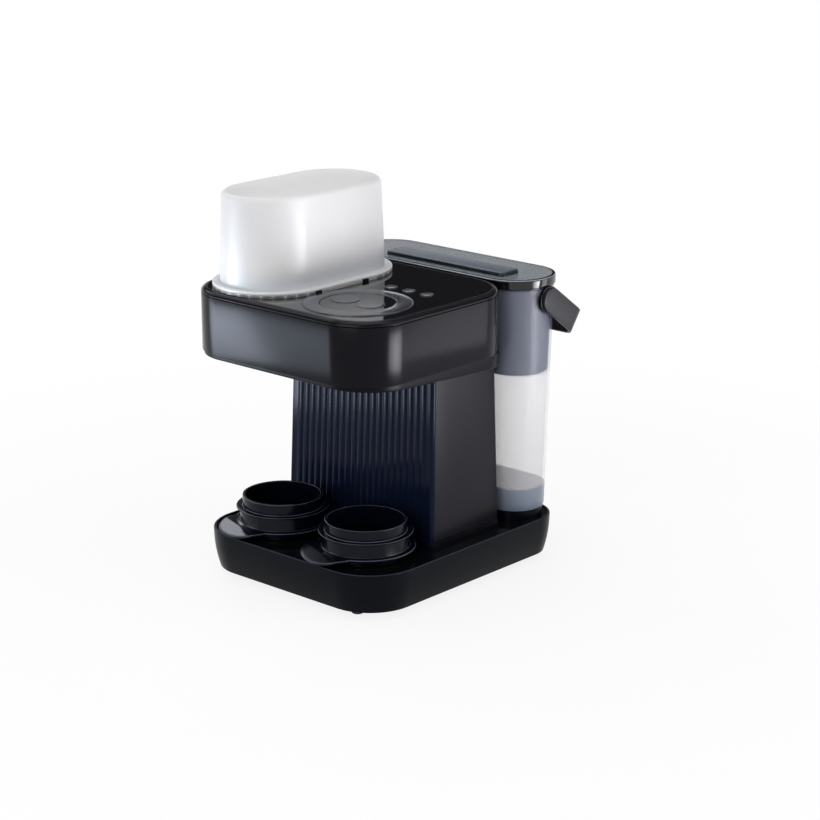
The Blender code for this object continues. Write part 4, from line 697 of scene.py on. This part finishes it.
def catch_rings(middle):
    """A small catch with softened edges: a rounded plan stacked by height."""
    inset = as_column((catch_bevel, 0, 0, catch_bevel))
    x, y = rounded(catch_half - inset, middle - catch_reach + inset, middle + catch_reach - inset,
                   catch_radius, catch_radius, 4)
    return np.dstack([x - catch_inset, y, np.broadcast_to(as_column(catch_levels), x.shape)])


for name, middle in (("front_catch", -0.0857), ("rear_catch", -0.0237)):
    skin(name, catch_rings(middle), satin_black, "machine", caps=(True, True))

# Dial: a satin ring turning in the hub's channel. The hub is polished black and carries two round
# brew buttons; three smaller keys sit behind it. All caps are grey with a soft dished top.
dial_x, dial_y = 0.050, -0.088249
dial_inner, dial_outer, dial_round, z_dial = 0.0345, 0.0497, 0.0009, 0.2810
dial_steps, cap_steps = 160, 64
mark_reach, mark_step, mark_squeeze = 0.0418, 0.0052, 1.7
cap_round, cap_dish, cap_depth, stem_radius, z_stem = 0.0006, 0.0002, 0.0035, 0.0022, 0.2740
brew_spacing, brew_radius, z_brew = 0.030, 0.013, 0.2812
key_x, key_y, key_spacing, key_radius, z_key = 0.054, -0.024449, 0.022, 0.006, 0.2808

# Three printed dots on the ring's right side are paler than the ring.
dial = Finish("dial_grey")
dial_grain = dial.noise(2600, 2, 0.6)
dial_marks = 0.0
for mark_y in (-mark_step, 0.0, mark_step):
    shift = (-dial_x - mark_reach, -dial_y - mark_y, 0)
    centred = dial.node("Mapping", {}, {"Vector": dial.place(), "Location": shift})
    flat = dial.node("VectorMath", {"operation": "MULTIPLY"}, {0: centred, 1: (1, mark_squeeze, 0)})
    away = dial.node("VectorMath", {"operation": "LENGTH"}, {0: flat}, output=1)
    dial_marks = (1 - dial.step(away, 0.0010, 0.0013)) + dial_marks
dial_tone = dial.blend(paint("1f232c"), paint("292e38"), dial_grain)
dial_grey = dial.surface(Base_Color=dial.blend(dial_tone, paint("7d8694"), dial_marks),
                         Roughness=0.14 + 0.06 * dial_grain, Normal=dial.bump(dial_grain, 0.2, 0.00001),
                         Coat_Weight=0.4, Coat_Roughness=0.05)
dial_profile = (round_over(dial_outer, z_dial, dial_round, 0, 90)
                + round_over(dial_inner, z_dial, dial_round, 90, 180)
                + [(dial_inner, z_bezel), (dial_outer, z_bezel)])
skin("dial_wheel", lathe(dial_profile, (dial_x, dial_y), dial_steps), dial_grey, "dial", ["dial_ring"],
     along=True)


def cap_profile(radius, top):
    """A cap with a softly dished top, a quarter cosine deep, a rounded edge and the stem under it."""
    dish = [(radius * share, top - cap_dish * np.cos(share * np.pi / 2)) for share in (0.0, 0.3, 0.55, 0.75)]
    return (dish + round_over(radius, top, cap_round, 90, 0)
            + [(radius, top - cap_depth), (stem_radius, top - cap_depth), (stem_radius, z_stem), (0, z_stem)])


for side, x in (("left", dial_x - brew_spacing / 2), ("right", dial_x + brew_spacing / 2)):
    skin(side + "_brew_cap", lathe(cap_profile(brew_radius, z_brew), (x, dial_y), cap_steps), dial_grey,
         "brew_" + side, ["brew_button_" + side])
for side, x in (("left", key_x - key_spacing), ("middle", key_x), ("right", key_x + key_spacing)):
    skin(side + "_key_cap", lathe(cap_profile(key_radius, z_key), (x, key_y), cap_steps), dial_grey,
         side + "_key", ["key_" + side])

# Electronics: two fibreglass boards with green solder mask.
mask = Finish("solder_mask")
tracks = mask.step(mask.noise(700, 1, 0.5, (1, 0.25, 1)), 0.5, 0.56)
board_green = mask.surface(Base_Color=mask.blend(paint("12502e"), paint("1f7a48"), tracks),
                           Roughness=0.38 - 0.08 * tracks, Normal=mask.bump(tracks, 0.4, 0.00004))
dress(board_green, "control_board", "power_board")

# Water path: silicone hoses and seals between tank, pump, heater and nozzle.
silicone = moulded("silicone", "cfd2d3", 0.55, grain=1800)
dress(silicone, "nozzle_pipe", "heater_pipe", "tank_pipe", "dock_seal", "tank_valve", "lid_seal")

# Tank: a bucket moulded in frosted clear copolyester, narrower at its foot, with the filter basket
# hanging inside its upper third.
y_tank, tank_half, tank_radius, tank_steps = 0.096901, 0.1165, 0.03525, 22
z_tank, z_tank_top, tank_wall, tank_draw = 0.0525, 0.2705, 0.0022, 0.0065
tank_foot_round, tank_lip_round, tank_lip_inner_round = 0.002, 0.0009, 0.0006
tank_ledge, tank_ledge_round, valve_hole = 0.0082, 0.003, 0.0045
wall_low, wall_high, inner_wall_low = 0.0546, 0.2695, 0.0585
tint_edge = 0.0006
basket_gap, basket_wall, z_basket, basket_foot_round = 0.0025, 0.0016, 0.1875, 0.002
basket_lip, basket_bevel, z_basket_lip, z_basket_top = 0.0022, 0.0002, 0.2708, 0.2720
basket_floor_in, basket_hole, basket_hole_x = 0.001, 0.0228, -0.060


def tank_plan(inset):
    return rounded(tank_half - inset, y_tank - tank_radius + inset, y_tank + tank_radius - inset,
                   tank_radius - inset, tank_radius - inset, tank_steps)


def draft(z):
    """How far the tank's wall has come in at a height; it narrows evenly towards its foot."""
    return tank_draw * (1 - (z - z_tank) / (z_tank_top - z_tank))


def hole(radius, centre_x, z, outline):
    """A circle about (centre_x, the tank's middle) whose points lie towards the outline's points."""
    x, y = outline(0)
    away = np.hypot(x - centre_x, y - y_tank)
    return np.dstack([centre_x + radius * (x - centre_x) / away, y_tank + radius * (y - y_tank) / away,
                      np.full(x.shape, z)])


def wall_levels(low, high, count=14):
    z = np.linspace(low, high, count)
    return np.column_stack([draft(z), z])


tank_foot = draft(z_tank)
tank_profile = np.vstack([turn_edge(tank_foot, z_tank, tank_foot_round, -90, 0),
                          wall_levels(wall_low, wall_high),
                          turn_edge(0, z_tank_top, tank_lip_round, 0, 90, 4),
                          turn_edge(tank_wall, z_tank_top, tank_lip_inner_round, 90, 180, 3),
                          wall_levels(inner_wall_low, wall_high)[::-1] + (tank_wall, 0),
                          turn_edge(tank_foot + tank_ledge, z_tank + tank_wall, tank_ledge_round, 180, 270)])
tank_rings = np.vstack([hole(valve_hole, 0, z_tank, tank_plan), rings_of(tank_plan, tank_profile),
                        hole(valve_hole, 0, z_tank + tank_wall, tank_plan)])


def frosted(name, code, dense, rough, foot=None, head=None):
    """Frosted clear plastic: each face holds back a share of what lies behind it and scatters light.
    A foot is its height, colour and density below which the wall is painted darker and denser, painted
    shade of the dark dock seen through it; a head is its height and colour above which the wall is
    painted greyer, painted shade of the tinted basket close behind the wall."""
    finish = Finish(name)
    grain = finish.noise(2400, 2, 0.6)
    cloud = finish.noise(18, 3, 0.5)
    tone = finish.blend(shade(code, 0.94), paint(code), cloud)
    if foot:
        z_foot, foot_code, foot_dense = foot
        above = finish.step(finish.height(), z_foot - tint_edge, z_foot + tint_edge)
        tone = finish.blend(paint(foot_code), tone, above)
        dense = foot_dense + (dense - foot_dense) * above
    if head:
        z_head, head_code = head
        above = finish.step(finish.height(), z_head - tint_edge, z_head + tint_edge)
        tone = finish.blend(tone, paint(head_code), above)
    return finish.surface(Base_Color=tone, Roughness=rough + 0.08 * grain,
                          Normal=finish.bump(grain, 0.25, 0.00002), Alpha=dense)


# The tank's foot and the band above the basket's foot are painted darker: painted shade of the dock and the
# basket behind the wall.
frosted_clear = frosted("frosted_tank", "efecee", 0.23, 0.30, foot=(0.0745, "8a95a6", 0.62),
                        head=(0.187, "a6aaba"))
skin("water_tank", tank_rings, frosted_clear, "tank", ["tank_shell"], along=True)


def basket_plan(inset):
    return tank_plan(inset + basket_gap)


# The basket's lip rests on the tank's, and its wall follows the tank's draft.
basket_levels = wall_levels(z_basket + basket_foot_round, z_basket_lip - basket_bevel, 10)
z_basket_floor = z_basket + basket_wall
basket_profile = np.vstack([turn_edge(draft(z_basket), z_basket, basket_foot_round, -90, 0, 4), basket_levels,
                            [(-basket_lip, z_basket_lip), (-basket_lip, z_basket_top - basket_bevel),
                             (-basket_lip + 2 * basket_bevel, z_basket_top),
                             (basket_wall - basket_bevel, z_basket_top),
                             (basket_wall, z_basket_top - basket_bevel)],
                            basket_levels[::-1] + (basket_wall, 0),
                            [(draft(z_basket_floor) + basket_wall + basket_floor_in, z_basket_floor)]])
basket_rings = np.vstack([hole(basket_hole, basket_hole_x, z_basket, basket_plan),
                          rings_of(basket_plan, basket_profile),
                          hole(basket_hole, basket_hole_x, z_basket_floor, basket_plan)])
basket_smoke = frosted("smoky_basket", "182442", 0.84, 0.30)
skin("basket", basket_rings, basket_smoke, "basket", ["filter_basket"], along=True)

# Valve spring: stainless wire wound in four turns between the valve's disc and the cage's roof.
spring_low, spring_high = (np.array(end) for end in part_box("valve_spring"))
wire, coil_turns, turn_steps, valve_travel = 0.0004, 4, 20, 0.003


def coil_rings():
    """A round wire wound evenly up the spring's box: circles of points, each a little further round."""
    wound = np.linspace(0, 1, coil_turns * turn_steps + 1)[:, None]
    turned = 2 * np.pi * coil_turns * wound
    around = np.linspace(0, 2 * np.pi, 8, endpoint=False)[None, :]
    reach = (spring_high[0] - spring_low[0]) / 2 - wire + wire * np.cos(around)
    climb = spring_high[2] - spring_low[2] - 2 * wire
    z = spring_low[2] + wire + climb * wound + wire * np.sin(around)
    return np.dstack([reach * np.cos(turned), y_tank + reach * np.sin(turned), z])


coil = skin("coil_spring", coil_rings(), steel, "tank", ["valve_spring"], caps=(True, True))
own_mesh(coil)

# Lid: a polished black rim moulded round a satin grey dish, with a raised grip bar that is clipped
# into the dish.
lid_half, lid_radius, lid_steps = 0.1175, 0.03785, 26
z_lid, z_lid_top, z_dish = 0.2723, 0.281, 0.277
lid_foot_round, lid_top_round = 0.0006, 0.0014
lid_rim_wide, lid_rim_bevel, z_rim_floor = 0.0036, 0.0002, 0.2748
skirt_outer, skirt_inner, z_skirt = 0.0059, 0.0075, 0.2668
dish_edge, dish_sweep, dish_rise, dish_end = 0.0037, 0.0220, 0.0037, 0.0280
z_dish_low, dish_power = 0.2750, 3.2


def lid_plan(inset):
    return rounded(lid_half - inset, y_tank - lid_radius + inset, y_tank + lid_radius - inset,
                   lid_radius - inset, lid_radius - inset, lid_steps)


lid_rim_profile = np.vstack([[(skirt_outer, z_skirt), (skirt_outer, z_lid)],
                             turn_edge(0, z_lid, lid_foot_round, -90, 0, 3),
                             turn_edge(0, z_lid_top, lid_top_round, 0, 90, 6),
                             [(lid_rim_wide - lid_rim_bevel, z_lid_top),
                              (lid_rim_wide, z_lid_top - lid_rim_bevel), (lid_rim_wide, z_rim_floor),
                              (skirt_inner, z_rim_floor), (skirt_inner, z_skirt)]])
# Its edge colour is a painted highlight along the lid rim's rounded edges.
rim_gloss = polished("rim_gloss", "08090c", edge="8d949d")
skin("lid_rim", rings_of(lid_plan, lid_rim_profile), rim_gloss, "lid", ["tank_lid"], along=True)

# The dish falls from the rim by a power of the way inwards that is a little over the cube.
sweep = np.linspace(0, 1, 15)
dish_curve = np.column_stack([dish_edge + dish_sweep * sweep, z_dish + dish_rise * (1 - sweep) ** dish_power])
dish_profile = np.vstack([dish_curve, [(dish_end, z_dish), (dish_end, z_dish_low), (dish_edge, z_dish_low)]])
dish_finish = Finish("brushed_lid")
brush = dish_finish.noise(900, 3, 0.6, (0.06, 1, 1))
lid_grey = dish_finish.surface(Base_Color=dish_finish.blend(paint("878f97"), paint("969ea5"), brush),
                               Metallic=0.5, Roughness=0.24 + 0.06 * brush,
                               Normal=dish_finish.bump(brush, 0.06, 0.00001))
dish_rings = rings_of(lid_plan, dish_profile)
skin("lid_dish", dish_rings, lid_grey, "lid", caps=(True, True))
grip_x, grip_half, grip_front, grip_rear, grip_radius = 0.0105, 0.0735, 0.07185, 0.09785, 0.004
z_grip_top, grip_round, grip_sink = 0.2847, 0.0017, 0.001


def grip_plan(inset):
    corner = grip_radius - inset * 0.6
    x, y = rounded(grip_half - inset, grip_front + inset, grip_rear - inset, corner, corner, 8)
    return x + grip_x, y


grip_profile = np.vstack([[(0, z_dish - grip_sink), (0, z_grip_top - grip_round)],
                          turn_edge(0, z_grip_top, grip_round, 0, 90, 6)])
# The grip's top is an inlay in satin grey, and its sides are polished black.
bar = Finish("grip_two_tone")
bar_grain = bar.noise(2600, 2, 0.6)
bar_inlay = bar.step(bar.height(), 0.28395, 0.28425)
bar_top = bar.blend(paint("464e5b"), paint("525a68"), bar_grain)
grip_finish = bar.surface(Base_Color=bar.blend(paint("08090c"), bar_top, bar_inlay),
                          Roughness=0.12 + 0.18 * bar_inlay + 0.04 * bar_grain,
                          Normal=bar.bump(bar_grain, 0.3, 0.00002))
skin("lid_bar", rings_of(grip_plan, grip_profile), grip_finish, "lid", ["lid_grip"], caps=(True, True))

# Bail handle: a flat strap of satin black nylon bent round the back of the tank. Its round ends
# turn on a boss at each side.
y_pivot, z_pivot = 0.099801, 0.2597
bail_x, bail_length, bail_corner, bail_width, bail_thick = 0.1226, 0.0519, 0.012, 0.0236, 0.003
bail_tip, bail_arm_start = 0.0002, 0.004
bail_lean = np.radians(-36)
soft_depth, soft_width = 0.23, 0.06


def both_sides(values, sign):
    """Values for one arm and then, in reverse and with a sign, for the other."""
    return np.concatenate([values, sign * values[::-1]])[:, None]


def bail_rings():
    """Sections of the strap from the right arm's round end to the left one's. Along an arm the width
    first grows as a half circle does, and each arm meets the cross strap in a quarter circle."""
    half_width = bail_width / 2
    arm_end = bail_length - bail_corner
    straight = np.concatenate([half_width * -np.cos(np.radians(np.linspace(0, 90, 13))),
                               np.linspace(bail_arm_start, arm_end, 6)])
    bend = np.radians(np.linspace(0, 90, 13))[1:]
    inner_corner = bail_corner - bail_thick
    out_x = np.concatenate([np.full(straight.size, bail_x),
                            bail_x - bail_corner + bail_corner * np.cos(bend)])
    out_reach = np.concatenate([straight, arm_end + bail_corner * np.sin(bend)])
    in_x = np.concatenate([np.full(straight.size, bail_x - bail_thick),
                           bail_x - bail_corner + inner_corner * np.cos(bend)])
    in_reach = np.concatenate([straight, arm_end + inner_corner * np.sin(bend)])
    wide = half_width * np.sqrt(np.clip(1 - (np.minimum(straight, 0) / half_width) ** 2, 0, 1))
    wide = np.concatenate([np.maximum(wide, bail_tip), np.full(bend.size, half_width)])
    out_x, out_reach = both_sides(out_x, -1), both_sides(out_reach, 1)
    in_x, in_reach = both_sides(in_x, -1), both_sides(in_reach, 1)
    wide = both_sides(wide, 1)

    # The section with its four soft corners: shares of the thickness and of the half width
    lap = np.radians(np.linspace(0, 90, 4))
    depth = soft_depth * (1 - np.cos(lap))
    width = 1 - soft_width * (1 - np.sin(lap))
    deep = np.concatenate([depth, 1 - depth[::-1], 1 - depth, depth[::-1]])
    across = np.concatenate([-width, -width[::-1], width, width[::-1]])

    x = out_x + (in_x - out_x) * deep
    reach = out_reach + (in_reach - out_reach) * deep
    y = y_pivot + reach * np.cos(bail_lean) - wide * across * np.sin(bail_lean)
    z = z_pivot + reach * np.sin(bail_lean) + wide * across * np.cos(bail_lean)
    return np.dstack([x, y, z])


nylon = moulded("handle_nylon", "202126", 0.34, shine=0.3)
skin("bail", bail_rings(), nylon, "handle", ["tank_handle"], caps=(True, True))
boss_radius, boss_face, boss_round, boss_middle = 0.013, 0.1193, 0.0007, 0.0001
tank_end_x, tank_end_radius = 0.0814, 0.0355


def boss_rings(side):
    """A boss along x: its inner face follows the tank's round end, its outer edge is rounded."""
    angle = np.linspace(0, 2 * np.pi, 64, endpoint=False)[None, :]
    radius = as_column((boss_middle, 0.005, 0.009, boss_radius))
    y = y_pivot + radius * np.cos(angle)
    wall_x = tank_end_x + np.sqrt(tank_end_radius ** 2 - (y - y_tank) ** 2)
    inner = np.dstack([side * wall_x, y, z_pivot + radius * np.sin(angle)])
    outer = np.array(round_over(boss_radius, boss_face, boss_round, 0, 90) + [(boss_middle, boss_face)])
    outer = np.dstack([side * (outer[:, 1:] + 0 * angle), y_pivot + outer[:, :1] * np.cos(angle),
                       z_pivot + outer[:, :1] * np.sin(angle)])
    return np.vstack([inner, outer])


skin("left_boss", boss_rings(-1), gloss_black, "tank", ["handle_pivot_left"], caps=(True, True))
skin("right_boss", boss_rings(1), gloss_black, "tank", ["handle_pivot_right"], caps=(True, True))
